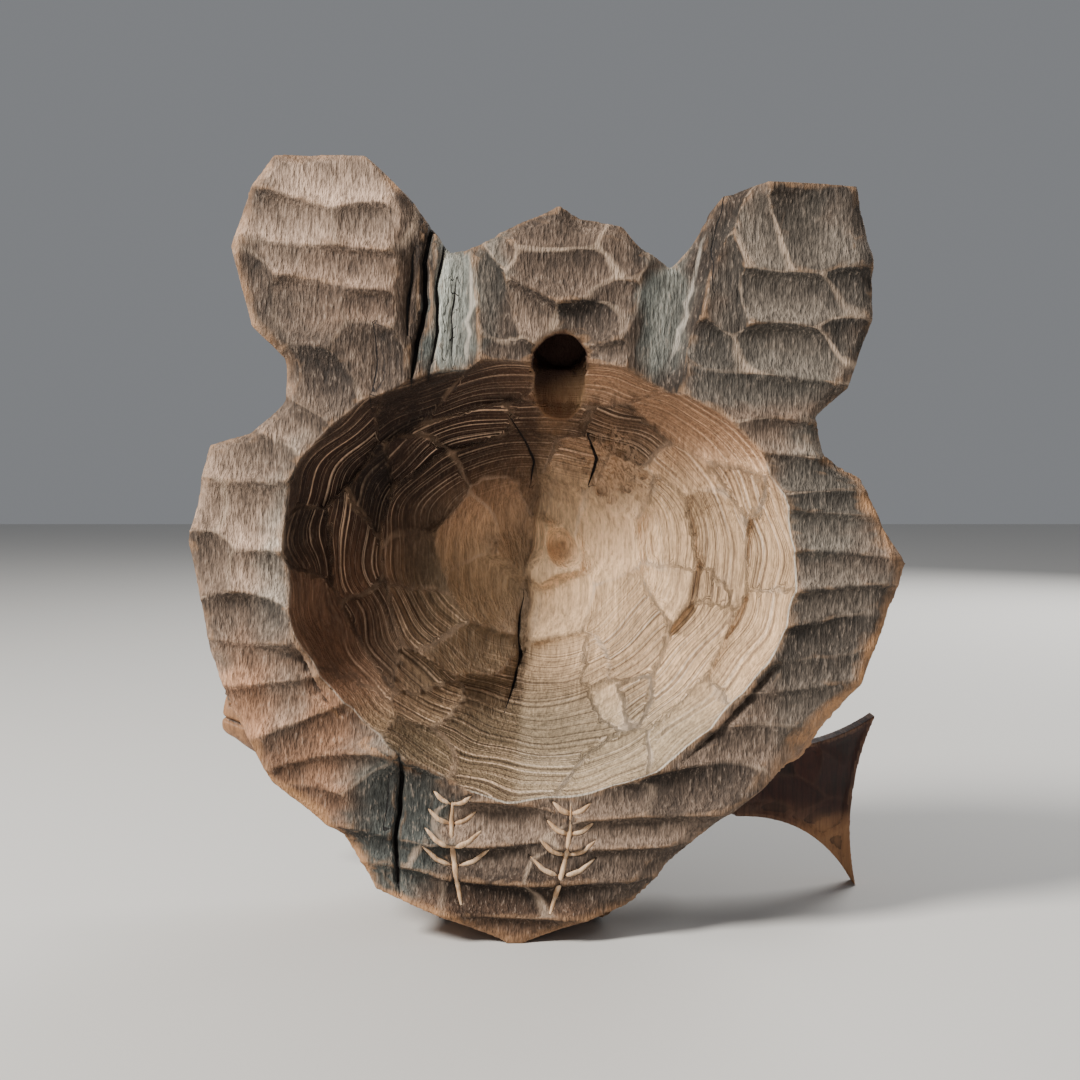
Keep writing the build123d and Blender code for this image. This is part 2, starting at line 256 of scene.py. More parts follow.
# Each cut on the rim: x, z, length, width, its turn in degrees, and how much deeper than most it is.
LEFT_EAR_CUTS = [
    (70, 226, 46, 20, 0, 0), (81, 210, 32, 17, 8, 0), (56, 211, 20, 15, -5, 0), (70, 199, 54, 13, 5, 0),
    (72, 185, 26, 21, 0, 0.3), (88, 191, 30, 12, 65, 0), (51, 187, 22, 12, 0, 0.2),
    (53, 172, 24, 22, 30, 0.6), (71, 165, 26, 20, 20, 0), (43, 210, 30, 11, 78, 1.2),
]
CROWN_CUTS = [
    (40, 188, 52, 11, 84, 2.6), (31, 190, 52, 12, 86, 3.4), (19, 193, 36, 11, 68, 0.8),
    (19, 207, 14, 10, 30, 0.2), (2, 212, 30, 18, 0, 0.2), (-5, 202, 38, 16, 0, 0),
    (5, 187, 28, 13, 28, 0.5), (-8, 186, 28, 13, -12, 0.7), (-17, 209, 18, 18, 60, 0),
    (-20, 192, 20, 18, 0, 0), (10, 176, 20, 12, 20, 0), (-17, 177, 22, 10, -10, 0),
    (-34, 195, 56, 14, 103, 3.2),
]
RIGHT_EAR_CUTS = [
    (-56, 222, 28, 14, 60, 0), (-79, 219, 40, 26, -20, 0.3), (-48, 207, 40, 12, 76, 0),
    (-65, 198, 46, 15, 0, 0), (-88, 200, 18, 15, 0, 0.2), (-47, 181, 30, 15, 15, 0.4),
    (-71, 182, 38, 15, 3, 0.5), (-88, 185, 15, 18, 0, 0), (-63, 168, 52, 15, 5, 0),
    (-74, 156, 26, 12, 10, 0.5),
]
RIGHT_RIM_CUTS = [
    (-82, 146, 36, 12, 4, 0.5), (-90, 138, 28, 10, 0, 0.2), (-90, 129, 36, 13, 0, 0.7),
    (-86, 118, 32, 12, 0, 0.4), (-91, 107, 34, 13, -8, 0.5), (-86, 96, 36, 14, -20, 0.6),
    (-82, 86, 42, 13, -16, 0), (-73, 74, 42, 14, -8, 0.3), (-63, 63, 36, 14, -14, 0.2),
    (-53, 51, 38, 13, -20, 0),
]
LOWER_RIM_CUTS = [
    (-23, 45, 38, 10, -4, 0.3), (-32, 35, 46, 10, -6, 0.2), (3, 36, 42, 11, 0, 0),
    (-24, 25, 50, 10, -4, 0.3), (15, 23, 42, 10, -3, 0), (-22, 15, 42, 9, -8, 0.2),
    (9, 13, 36, 9, 4, 0.3), (1, 4, 26, 8, 0, 0), (39, 39, 23, 22, 0, 1.0), (42, 26, 32, 10, 4, 0.2),
    (37, 17, 28, 9, 10, 0), (57, 48, 28, 12, -6, 0.3), (60, 38, 22, 11, 20, 0),
]
LEFT_RIM_CUTS = [
    (60, 60, 30, 14, -20, 0.4), (76, 67, 32, 16, -6, 0), (83, 79, 32, 14, 6, 0),
    (88, 93, 20, 15, 0, 0.4), (83, 107, 26, 15, 10, 0), (99, 108, 16, 22, 0, 0),
    (87, 123, 25, 21, 0, 0.3), (101, 126, 14, 20, 80, 0), (91, 142, 28, 18, 10, 0),
    (80, 153, 26, 15, 20, 0.2),
]
RIM_CUTS = LEFT_EAR_CUTS + CROWN_CUTS + RIGHT_EAR_CUTS + RIGHT_RIM_CUTS + LOWER_RIM_CUTS + LEFT_RIM_CUTS


def hollow_reach(x, z):
    """0 in the middle of the hollow and 1 at its edge."""
    above = z > HOLLOW_MIDDLE_Z
    power = np.where(above, 2.2, 1.85)
    a = np.abs(x) / HOLLOW_HALF_WIDTH
    b = np.abs(z - HOLLOW_MIDDLE_Z) / np.where(above, HOLLOW_UP, HOLLOW_DOWN)
    uneven = 1 + 0.016 * waves(3, 60, x, z) + 0.010 * waves(2, 22, x, z)
    return (a**power + b**power) ** (1 / power) * uneven


# Rows of cuts round the hollow: how far out each lies, how many cuts, and their length and width.
HOLLOW_ROWS = ((0.93, 15, 46, 15), (0.76, 15, 40, 17), (0.55, 11, 38, 20), (0.32, 7, 34, 22))
# Deeper cuts by themselves on its floor, given as the rim's are.
FLOOR_CUTS = [
    (1, 58, 40, 30, 0, 1.9), (-28, 92, 34, 26, 70, 0.9), (14, 130, 34, 20, 60, 0.4),
    (-8, 118, 10, 8, 60, 1.3),
]


def hollow_cuts():
    """Long cuts that follow the hollow round its wall, and broader ones on its floor."""
    rng = np.random.default_rng(11)
    cuts = []
    for reach, count, length, width in HOLLOW_ROWS:
        for k in range(count):
            turn = 2 * math.pi * (k + rng.uniform(-0.25, 0.25)) / count + reach
            tall = HOLLOW_UP if math.sin(turn) > 0 else HOLLOW_DOWN
            x = reach * HOLLOW_HALF_WIDTH * math.cos(turn)
            z = HOLLOW_MIDDLE_Z + reach * tall * math.sin(turn)
            lie = math.degrees(math.atan2(tall * math.cos(turn), -HOLLOW_HALF_WIDTH * math.sin(turn)))
            cuts.append((x, z, length, width, lie + rng.uniform(-12, 12), rng.uniform(-0.3, 0.5)))
    return cuts + FLOOR_CUTS


def cut_sheet(cuts, x, z, seed):
    """Overlapping cuts: how deep the deepest is, by how much it wins, which it is and where across it."""
    rng = np.random.default_rng(seed)
    best = np.full((x + z).shape, -60.0, np.float32)
    second, which, share = best.copy(), np.zeros(best.shape, np.int32), np.zeros(best.shape, np.float32)
    for number, (cut_x, cut_z, length, width, turn, deeper) in enumerate(cuts):
        c, s = math.cos(math.radians(turn)), math.sin(math.radians(turn))
        along = (x - cut_x) * c + (z - cut_z) * s
        across = (z - cut_z) * c - (x - cut_x) * s + 0.004 * rng.normal() * along * along
        u, v = 2 * along / length / CUT_REACH, 2 * across / width / CUT_REACH
        entry = CUT_ENTRY * (np.clip(v, -1, 1) - np.maximum(v - 0.55, 0) ** 2 * 9)
        level = deeper - CUT_LIFT * (u * u + v * v) + entry
        level = level + rng.normal() * 0.03 * along + 0.06 * waves(seed + number, 7, x, z)
        won = level > best
        second = np.where(won, best, np.maximum(second, level))
        which, share = np.where(won, number, which), np.where(won, v, share)
        best = np.maximum(best, level)
    return best, best - second, which, share


def near_path(x, z, path):
    """Distance to a path drawn on the back, how far along it from 0 to 1, and which side of it."""
    best, where = np.full((x + z).shape, 999.0, np.float32), np.zeros((x + z).shape, np.float32)
    side = np.ones_like(best)
    for k, ((ax, az), (bx, bz)) in enumerate(zip(path, path[1:])):
        size = (bx - ax) ** 2 + (bz - az) ** 2
        t = np.clip(((x - ax) * (bx - ax) + (z - az) * (bz - az)) / size, 0, 1)
        gap = np.hypot(x - ax - t * (bx - ax), z - az - t * (bz - az))
        nearer = gap < best
        where = np.where(nearer, (k + t) / (len(path) - 1), where)
        side = np.where(nearer, np.where((bx - ax) * (z - az) > (bz - az) * (x - ax), 1, -1), side)
        best = np.minimum(best, gap)
    return best, where, side


# Drying checks and splits: the path, its width where it is widest, and its depth.
CHECKS = [
    ([(37, 216), (39, 203), (38, 190), (40, 178), (41, 166)], 0.7, 9),
    ([(33, 212), (35, 196), (34, 183), (36, 168)], 0.45, 5),
    ([(42, 208), (43, 192), (43, 180)], 0.4, 4),
    ([(29, 200), (30, 188), (29, 172)], 0.25, 2),
    ([(38, 57), (37, 44), (38, 30), (36, 13)], 0.6, 8),
    ([(41, 50), (41, 40), (42, 31)], 0.22, 1),
    ([(12, 160), (6, 152), (3, 146), (4, 138)], 0.4, 2),
    ([(4, 102), (5, 92), (4, 82), (5, 74), (8, 64)], 0.45, 4),
    ([(-13, 156), (-17, 148), (-15, 139)], 0.5, 3),
    ([(53, 186), (51, 172), (53, 158)], 0.2, 1),
    ([(-50, 232), (-46, 214), (-47, 198)], 0.2, 1),
]
# Sharp ridges where the stain has rubbed off.
LIGHT_RIDGES = [
    [(26, 206), (24, 195), (25, 183), (25, 170)],
    [(-44, 218), (-42, 207), (-40, 195), (-38, 185), (-34, 173)],
]
# Two sprigs cut below the hollow: the foot of each and the way it bows.
SPRIGS = (((17, 11), 1), ((-10, 10), -1))
SPRIG_HEIGHT, SPRIG_BOW = 34.0, 4.5


def sprig_strokes():
    """Each sprig's bowed stem and its four pairs of leaves, as paths on the back."""
    strokes = []
    for (foot_x, foot_z), side in SPRIGS:

        def on_stem(t):
            return foot_x + side * SPRIG_BOW * math.sin(1.9 * t), foot_z + SPRIG_HEIGHT * t

        strokes.append([on_stem(t) for t in (0, 0.25, 0.5, 0.75, 1)])
        for k in range(1, 5):
            x, z = on_stem(0.14 + 0.19 * k)
            leaf = 11.5 - 1.4 * k
            for reach in (leaf, -leaf):
                strokes.append([(x, z), (x + reach * 0.55, z + leaf * 0.2), (x + reach, z + leaf * 0.62)])
    return strokes


FAR_AWAY = 12.0  # line widths past which it no longer matters how far a line is


def tapering(where):
    """How wide a drawn line is along its path: almost nothing at its ends."""
    return np.sqrt(np.sin(np.pi * np.clip(where, 0.01, 0.99)))


def with_line(sheet, gap, width, side):
    """A sheet of line widths to the nearest line, below 0 on its other side, with one more line."""
    widths_away = np.minimum(gap / width, FAR_AWAY) * side
    return np.where(np.abs(widths_away) < np.abs(sheet), widths_away, sheet)


class Back:
    """The carved back as one sheet over x and z: how far in it lies, and what shows there."""

    def __init__(self, x, z, edge):
        """edge is how far inside the mask's outline each place is."""
        self.x, self.z = np.broadcast_arrays(x, z)
        self.edge = edge
        self.gouge()
        self.split()
        self.rub()
        self.cut_sprigs()
        self.tear()

    @staticmethod
    def fold_line(z):
        """x of the fold that runs down the middle of the hollow."""
        return 1.5 + 1.4 * waves(4, 60, z) + 0.5 * waves(5, 15, z)

    def gouge(self):
        """The rim's cuts, then the bowl with its fold and the rough cuts that follow its wall."""
        x, z = self.x, self.z
        best, lead, which, share = cut_sheet(RIM_CUTS, x, z, 5)
        rim = RIM_SKIN + np.maximum(best + 1.6 * CUT_LIFT, 0)
        bevel = 3.2 + 2.0 * waves(8, 45, x, z)
        rim = rim + 0.7 * np.maximum(bevel - self.edge, 0)
        reach = hollow_reach(x, z)
        bowl = np.sqrt(np.maximum(1 - (reach / (1 + 0.5 * (BOWL_RUN_OUT / BOWL_DEPTH) ** 2)) ** 2, 0))
        fold = x - self.fold_line(z)
        valley = np.maximum(1 - np.abs(fold) / VALLEY_HALF_WIDTH, 0)
        window = smooth_step(44, 78, z) * (1 - smooth_step(138, 166, z))
        hollow = (BOWL_DEPTH + BOWL_RUN_OUT) * bowl - BOWL_RUN_OUT + VALLEY_DEPTH * valley * window
        in_best, in_lead, in_which, in_share = cut_sheet(hollow_cuts(), x, z, 6)
        phase = hashed(in_which + 9.0, 4.0)
        self.contour = reach * 72 * (0.85 + 0.3 * phase) + 40 * phase + 0.9 * waves(15, 24, x, z)
        saw = self.contour / (2.2 + 1.8 * phase) % 1.0
        chatter = np.minimum(saw / 0.72, (1 - saw) / 0.28)
        self.chatter = (0.35 + 0.65 * hashed(in_which + 2.0, 8.0)) * smooth_step(0.3, 0.62, reach)
        rougher = smooth_step(-10, 30, x)
        rough_cut = (0.6 + 1.15 * rougher) * smooth_step(0.3, 0.62, self.chatter)
        hollow = hollow + np.maximum((2.0 + 0.9 * rougher) * in_best, -5.0) + rough_cut * chatter
        undercut = np.where(fold > 0, np.exp(-fold / 14) * smooth_step(0, 0.9, fold), 0)
        hollow = hollow + 3.0 * undercut * window
        in_hollow = hollow > rim
        self.inside = smooth_step(-0.5, 1.0, hollow - rim)
        self.depth = np.maximum(rim, hollow)
        self.lead = np.minimum(np.where(in_hollow, in_lead, lead), 3)
        self.lip = np.clip(hollow - rim, -3, 3)
        self.tone = np.where(in_hollow, hashed(in_which + 71.0, 3.0), hashed(which + 5.0, 1.0))
        # Where across its cut each place lies: the paint makes the rim's cuts darker at the upper side and
        # lighter at the lower, as painted shade and light.
        self.across = np.where(in_hollow, 0.4 * in_share, share)

    def split(self):
        """Drying checks, on three sheets so that lines side by side stay apart."""
        x, z = self.x, self.z
        self.crack_lines = [np.full(self.depth.shape, FAR_AWAY) for _ in range(3)]
        self.crack_near = np.zeros(self.depth.shape)
        for number, (path, width, deep) in enumerate(CHECKS):
            gap, where, side = near_path(x + 0.25 * waves(number + 60, 13, z), z, path)
            ends = tapering(where)
            self.depth = self.depth + 0.5 * deep * np.clip(1 - gap / (0.4 + width), 0, 1) * ends
            width_here = width * ends * (1 + 0.35 * waves(9, 9, z))
            line = self.crack_lines[number % 3]
            self.crack_lines[number % 3] = with_line(line, gap, width_here, side)
            self.crack_near = np.maximum(self.crack_near, smooth_step(2.2, 1.3, gap))

    def rub(self):
        """Ridges that have lost their stain."""
        self.light_ridge = np.full(self.depth.shape, FAR_AWAY)
        self.ridge_near = np.zeros(self.depth.shape)
        for path in LIGHT_RIDGES:
            gap, where, side = near_path(self.x + 0.9 * waves(77, 11, self.z), self.z, path)
            self.light_ridge = with_line(self.light_ridge, gap, 0.5 * tapering(where), side)
            within = smooth_step(0.0, 0.2, where) * smooth_step(1.0, 0.8, where)
            self.ridge_near = np.maximum(self.ridge_near, smooth_step(2.4, 1.4, gap) * within)

    def cut_sprigs(self):
        """V cuts along the sprigs' strokes."""
        for path in sprig_strokes():
            gap, where, _ = near_path(self.x, self.z, path)
            wide = 1.2 * np.sin(np.pi * np.clip(0.1 + 0.85 * where, 0, 1)) + 0.4
            self.depth = self.depth + 1.3 * np.clip(1 - gap / wide, 0, 1)

    def tear(self):
        """A torn patch below the hanging hole, with its fibres standing up and down."""
        x, z = self.x, self.z
        patch = np.hypot((x + 22) / 10, (z - 146) / 12) + 0.3 * waves(12, 6, x, z)
        below = np.hypot((x + 27) / 14, (z - 126) / 17) + 0.35 * waves(16, 8, x, z)
        deepest = 1 - smooth_step(0.7, 1.0, patch)
        self.torn = np.maximum(deepest, 0.6 * (1 - smooth_step(0.6, 1.1, below)))
        fibres = 0.5 + 0.5 * np.clip(waves(13, 1.9, x, 0.12 * z) * 1.5, -1, 1)
        self.depth = self.depth + self.torn * (1.5 * deepest + 0.9 * fibres)


# ---------- the face ----------

EYE_BOSS_Y, EYE_TURN, EYE_SEAT, EYE_RIM = -51.0, math.radians(24), 8.5, 11.5
EYE_X_ROOT = EYE_X - 12.2 * math.sin(EYE_TURN)
GLASS_RADIUS = 7.15
NOSE = (0.0, -101.0, 97.0)
FUR_SOURCE = (0.0, -104.0, 96.0)
STRAND = 3.7  # width of one cut in the fur


def on_side(side, path):
    """A path on the left cheek, or its twin on the right one."""
    return [(side * x, y, z) for x, y, z in path]


def face_features(wood):
    """Bridge, whisker pads, nose, lips, brows and chin, on the plain volumes of the head."""
    wood.lump((0, -70, 113), (21, 28, 19), 16)
    wood.lump((0, -51, 156), (42, 14, 36), 20)
    wood.lump((0, -84, 13), (19, 17, 11), 8)
    for side in (1, -1):
        wood.lump((side * 17, -84, 84), (17, 22, 18), 10)
        wood.lump((side * 62, -26, 84), (34, 22, 36), 16)
        wood.lump((side * 29, -55, 152), (22, 11, 8), 10)
        wood.lump((side * 46, -46, 118), (20, 12, 14), 10)
        wood.scoop((side * 19, -76, 131), (9, 12, 15))
        wood.lump((side * 68, -20, 204), (26, 20, 30), 8)
        wood.scoop((side * 68, -45, 205), (17, 21, 21))
        wood.lump((side * 9, -103, 95), (7, 7, 6.5), 2)
    wood.lump(NOSE, (14, 8.5, 9.5), 3)
    wood.groove([(0, -110.5, 92), (0, -108, 80), (0, -104, 66)], (0.9, 1.0))
    for side in (1, -1):
        wood.scoop((side * 6.2, -110, 97), (3.5, 5, 3.0))
        nostril = [(8, -109, 98), (12, -105, 100), (14, -100, 99)]
        wood.groove(on_side(side, nostril), (1.2, 0.8))
        upper_lip = [(3, -105, 69), (16, -103, 68), (27, -92, 68), (33, -76, 67), (38, -60, 64)]
        wood.groove(on_side(side, upper_lip), (1.0, 1.3, 1.3, 1.2))
        lower_lip = [(4, -99, 24), (16, -95, 23), (25, -78, 24)]
        wood.groove(on_side(side, lower_lip), (0.9, 1.1))


def eye_rims(wood):
    """Sockets round the glass, then an upper and a lower lid that lap over its edge."""
    for side in (1, -1):
        look = Vector((side * math.sin(EYE_TURN), -math.cos(EYE_TURN), 0))
        across = Vector((math.cos(EYE_TURN), side * math.sin(EYE_TURN), 0))
        boss = Vector((side * EYE_X_ROOT, EYE_BOSS_Y, EYE_Z))
        seat, ahead = boss + look * EYE_SEAT, boss + look * 24
        box = [min(a, b) - 9 for a, b in zip(seat, ahead)], [max(a, b) + 9 for a, b in zip(seat, ahead)]

        def glass(x, y, z):
            out = (x - boss.x) * look.x + (y - boss.y) * look.y
            return np.maximum(line_gap(x, y, z, boss, look) - GLASS_RADIUS, EYE_SEAT - out)

        wood.take(*box, glass)
        for low, high, ring, thick, out in ((8, 172, 8.3, 2.3, 1.3), (188, 352, 8.0, 1.7, 0.6)):
            middle = boss + look * (EYE_RIM + out)
            lid = []
            for k in range(11):
                turn = math.radians(low + (high - low) * k / 10)
                rise = Vector((0, 0, ring * 0.93 * math.sin(turn)))
                lid.append(middle + across * ring * 1.06 * math.cos(turn) + rise)
            for a, b in zip(lid, lid[1:]):
                low_corner = [min(p, q) - 5 for p, q in zip(a, b)]
                high_corner = [max(p, q) + 5 for p, q in zip(a, b)]
                wood.build(low_corner, high_corner, lambda x, y, z: rod(x, y, z, a, b) - thick, 1.2)


def line_gap(x, y, z, start, way):
    """Distance to an endless line."""
    dx, dy, dz = x - start[0], y - start[1], z - start[2]
    along = dx * way[0] + dy * way[1] + dz * way[2]
    return np.sqrt(np.maximum(dx * dx + dy * dy + dz * dz - along * along, 0))


def strands(x, y, z, width, length, seed):
    """Tapering V cuts that run back from the nose over the whole face, from 0 to 1 deep."""
    away = np.sqrt((x - FUR_SOURCE[0]) ** 2 + (y - FUR_SOURCE[1]) ** 2 + (z - FUR_SOURCE[2]) ** 2)
    away = away + 3 * waves(seed, 50, x, z)
    turn = np.arctan2(z - FUR_SOURCE[2], x - FUR_SOURCE[0]) / (2 * math.pi)
    turn = turn + 0.012 * waves(seed + 1, 60, x, y, z)
    deepest = np.zeros_like(away)
    for row in range(3):
        step = away / length + row / 3
        ring = np.floor(step)
        round_about = np.clip((ring + 0.5 - row / 3) * length * 0.95 - 10, 24, 140)
        count = np.round(2 * math.pi * round_about / width)
        place = turn * count + hashed(ring, row + seed)
        strand = np.floor(place)
        chance, other = hashed(strand + 7 * row, ring), hashed(strand, ring + 31)
        inset = 0.28 * chance
        t = np.clip((step - ring - inset) / (1 - inset - 0.22 * other), 0, 1)
        wedge = np.maximum(1 - 2.3 * np.abs(place - strand - 0.5), 0)
        shape = np.maximum(np.sin(np.pi * t), 0) ** 0.7 * wedge
        deepest = np.maximum(deepest, shape * (0.55 + 0.45 * other))
    return deepest


def fur_cover(x, y, z):
    """1 where the face is cut as fur, and 0 on the nose, lips, eyelids and jaws' inner sides."""
    cover = smooth_step(-4, -13, y)
    cover = cover * smooth_step(2, 7, egg(x, y, z, (0, -104, 96), (13, 9, 9)))
    jaws = np.maximum(np.abs(z - MOUTH_Z) - 21, np.maximum(np.abs(x) - 34, y + 52))
    cover = cover * smooth_step(0, 3, jaws)
    eye_x = EYE_X_ROOT + EYE_RIM * math.sin(EYE_TURN)
    eye_y = EYE_BOSS_Y - EYE_RIM * math.cos(EYE_TURN)
    for side in (1, -1):
        gap = np.sqrt((x - side * eye_x) ** 2 + (y - eye_y) ** 2 + (z - EYE_Z) ** 2)
        cover = cover * smooth_step(10, 14, gap)
    return cover


def seat_of_salmon(x, y, z):
    """Distance to the slot that the salmon lies in, right through the jaws."""
    way = (in_mask.to_3x3() @ snout_way).normalized()
    high = (z - MOUTH_Z) * way.x - x * way.z
    return (np.sqrt((high / 21.0) ** 2 + ((y - SALMON_Y) / 13.5) ** 2) - 1) * 13.5


OUTLINE_Y = -7  # how far in the mask's outline is read, past the rounding of its back edge
SEAT_SPACE = (-114, -86, 20), (112, -54, 74)
FANG_ROOT, FANG_SOCKET = 14, 4.0  # how far from the mouth's middle a fang's root is, and its radius


def carve_head():
    """The whole head as a block of cells, with what the painter needs to know about its skin."""
    wood = Block(*HEAD_BLOCK, HEAD_CELL)
    wood.cast("bear_head", mask_place, band=12)
    x, y, z = wood.window(wood.low, [l + n * HEAD_CELL for l, n in zip(wood.low, wood.counts)])[1]
    back_slice = int((OUTLINE_Y - wood.low[1]) / HEAD_CELL)
    edge = -wood.depth[:, back_slice, :]
    filler = np.maximum(egg(x, y, z, (0, BOWL_RUN_OUT, 110), (83, 58, 71)), y + 0.2)
    core = np.maximum(egg(x, y, z, (1, 0, 104), (27, 54, 51)), y + 0.2)
    outline = np.maximum(edge, np.where(hollow_reach(x, z)[:, 0, :] < 1.03, 12, -12))
    wood.depth = np.minimum(wood.depth, np.minimum(filler, core))
    soft = blurred(wood.depth, 2.2, HEAD_CELL)
    share = smooth_step(-6, -24, y) * 0.9
    wood.depth += (soft - wood.depth) * share
    face_features(wood)
    back = Back(x[:, 0, :], z[:, 0, :], outline)
    skin = (np.abs(wood.depth) < 3.5) & (y < -3)
    where = np.nonzero(skin)
    px, py, pz = (a.ravel()[i] for a, i in zip((x, y, z), where))
    cover = fur_cover(px, py, pz)
    locks = strands(px, py, pz, 12.5, 46, 40) * smooth_step(60, 95, np.hypot(px, pz - 96))
    fine = strands(px, py, pz, STRAND, 21, 20)
    wood.depth[where] += cover * (2.6 * locks + 1.25 * fine)
    eye_rims(wood)
    wood.take(*SEAT_SPACE, seat_of_salmon)
    for node in fangs:
        low, high = (in_mask @ Vector(corner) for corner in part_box(node))
        spot, root = (low + high) / 2, FANG_ROOT if node.startswith("upper") else -FANG_ROOT
        start, end = (spot.x, spot.y, MOUTH_Z + root), (spot.x, spot.y, MOUTH_Z)
        wood.groove([start, end], (FANG_SOCKET,))
    slope_x, slope_z = np.gradient(back.depth, HEAD_CELL)
    steep = np.sqrt(1 + np.minimum(slope_x**2 + slope_z**2, 9))
    wood.depth = np.maximum(wood.depth, (y + back.depth[:, None, :]) / steep[:, None, :])
    hang_up(wood)
    return wood, back


HANGING_MOUTH = (-3.0, 0.0, 173.0)
HANGING_RADIUS, HANGING_DEPTH, HANGING_RISE = 8.0, 32.0, math.radians(20)
HANGING_WAY = (0, -math.cos(HANGING_RISE), math.sin(HANGING_RISE))
# The notch that leads into the hanging hole: its middle and its three radii.
NOTCH = ((-3.5, -13, 167), (7.8, 19, 14.5))


def hang_up(wood):
    """The slanting hole that the mask hangs by, and the notch below it that lets the nail in."""

    def bore(x, y, z):
        along = (y - HANGING_MOUTH[1]) * HANGING_WAY[1] + (z - HANGING_MOUTH[2]) * HANGING_WAY[2]
        around = line_gap(x, y, z, HANGING_MOUTH, HANGING_WAY) - HANGING_RADIUS
        return np.maximum(around, along - HANGING_DEPTH)

    wood.take((-14, -36, 150), (8, 3, 200), bore)
    wood.scoop(*NOTCH)


def as_mesh(name, wood, place, triangles):
    """The block's skin as a closed mesh in the shared frame, thinned to a number of triangles."""
    limit = 3 * wood.cell
    grid = vdb.FloatGrid(limit)
    grid.copyFromArray(np.clip(wood.depth, -limit, limit), tolerance=1e-4)
    points, _, quads = grid.convertToPolygons(0.0, 0.0)
    points = points * wood.cell + wood.low
    mesh = bpy.data.meshes.new(name)
    mesh.from_pydata(carried(points, place), [], quads)
    thing = bpy.data.objects.new(name, mesh)
    bpy.context.scene.collection.objects.link(thing)
    thin = thing.modifiers.new("thin", "DECIMATE")
    thin.ratio = min(1.0, triangles / (2 * len(quads)))
    return baked(thing)


def baked(thing):
    """A thing with its modifiers applied to its mesh."""
    graph = bpy.context.evaluated_depsgraph_get()
    mesh = bpy.data.meshes.new_from_object(thing.evaluated_get(graph))
    mesh.name = thing.name
    thing.modifiers.clear()
    thing.data = mesh
    mesh.shade_smooth()
    return thing


# ---------- what the painter is told about each corner of a carved mesh ----------

def mark(thing, **values):
    """Stores numbers on a mesh's corners for its material."""
    for name, numbers in values.items():
        layer = thing.data.attributes.new(name, "FLOAT", "POINT")
        layer.data.foreach_set("value", np.asarray(numbers, np.float32))


def corners(thing, place):
    """A mesh's corners and normals in a carving's own frame."""
    count = len(thing.data.vertices)
    points, normals = np.empty(count * 3, np.float32), np.empty(count * 3, np.float32)
    thing.data.vertices.foreach_get("co", points)
    thing.data.vertices.foreach_get("normal", normals)
    turn = np.array(place.inverted().to_3x3()) * MM
    return carried(points.reshape(-1, 3), place.inverted()), normals.reshape(-1, 3) @ turn.T


def creases(wood, points, reach):
    """0.5 on flat skin, towards 1 on ridges and 0 in grooves."""
    soft = blurred((wood.depth < 0).astype(np.float32), reach, wood.cell)
    return np.clip(1 - wood.sample(soft, points), 0, 1)


def sheet_value(sheet, wood, points):
    """A value drawn on the back, at each point's x and z."""
    place = (points - wood.low) / wood.cell
    u = np.clip(place[:, 0], 0, sheet.shape[0] - 1.001)
    v = np.clip(place[:, 2], 0, sheet.shape[1] - 1.001)
    i, j = u.astype(np.int64), v.astype(np.int64)
    u, v = u - i, v - j
    near = sheet[i, j] * (1 - v) + sheet[i, j + 1] * v
    far = sheet[i + 1, j] * (1 - v) + sheet[i + 1, j + 1] * v
    return near * (1 - u) + far * u


head_wood, head_back = carve_head()
head = as_mesh("carved_head", head_wood, mask_place, HEAD_TRIANGLES)
points, normals = corners(head, mask_place)
faces_back = smooth_step(-0.1, 0.45, normals[:, 1]) * smooth_step(-75, -60, points[:, 1])
sheet_gap = np.abs(points[:, 1] + sheet_value(head_back.depth, head_wood, points))
on_sheet = sheet_gap < 3.0 + 4.5 * sheet_value(head_back.inside, head_wood, points)
faces_back = np.where(on_sheet, np.maximum(faces_back, 0.9), faces_back * 0.6)
back_sheets = {
    "lead": head_back.lead,
    "lip": head_back.lip,
    "light_ridge": head_back.light_ridge,
    "ridge_near": head_back.ridge_near,
    "crack_near": head_back.crack_near,
    "tone": head_back.tone,
    "across": head_back.across,
    "contour": head_back.contour,
    "chatter": head_back.chatter,
}
for letter, line in zip("abc", head_back.crack_lines):
    back_sheets["crack_" + letter] = line
mark(head, **{name: sheet_value(sheet, head_wood, points) for name, sheet in back_sheets.items()})
mark(
    head,
    edge=creases(head_wood, points, 1.4),
    back=faces_back,
    hollow=sheet_value(head_back.inside, head_wood, points) * faces_back,
    torn=sheet_value(head_back.torn, head_wood, points) * faces_back,
)


# ---------- the salmon ----------

# In the salmon's own frame x runs towards its snout, y towards the mask's back and z up.
SCALE_LENGTH, SCALE_HEIGHT = 5.0, 4.4
SCALE_BED = 0.55  # how far the skin lies lower where the scales grow


def body_half_height(s):
    """How far the salmon's body reaches above and below its axis, without its fins."""
    return np.interp(s, [-80, -60, -20, 30, 62, 85, 100], [10, 13.5, 18.5, 19.5, 17.5, 11.5, 6])


def drawn(s, h, path, wide, deep):
    """A V cut drawn on both of the salmon's sides."""
    gap, where, _ = near_path(s, h, path)
    start, end = np.clip(6 * where + 0.3, 0, 1), np.clip(6 - 6 * where + 0.3, 0, 1)
    return deep * np.clip(1 - gap / wide, 0, 1) * start * end


def arc(s, h, radius, low, high, stretch=1.0):
    """Points round a middle from one angle to another, stretched upwards."""
    turns = [math.radians(low + (high - low) * k / 9) for k in range(10)]
    return [(s + radius * math.cos(t), h + stretch * radius * math.sin(t)) for t in turns]


def scaly(s, h):
    """1 where the salmon has scales."""
    flank = smooth_step(-74, -68, s) * (1 - smooth_step(50, 54, s + 0.05 * h * h))
    belly = 1 - smooth_step(-2.6, -0.6, np.abs(h) - body_half_height(s))
    fin = np.minimum(egg(s, 0, h, (38, 0, -10), (15, 9, 5.5)), egg(s, 0, h, (-14, 0, -13), (11, 9, 4)))
    return flank * belly * smooth_step(0, 0.8, fin)


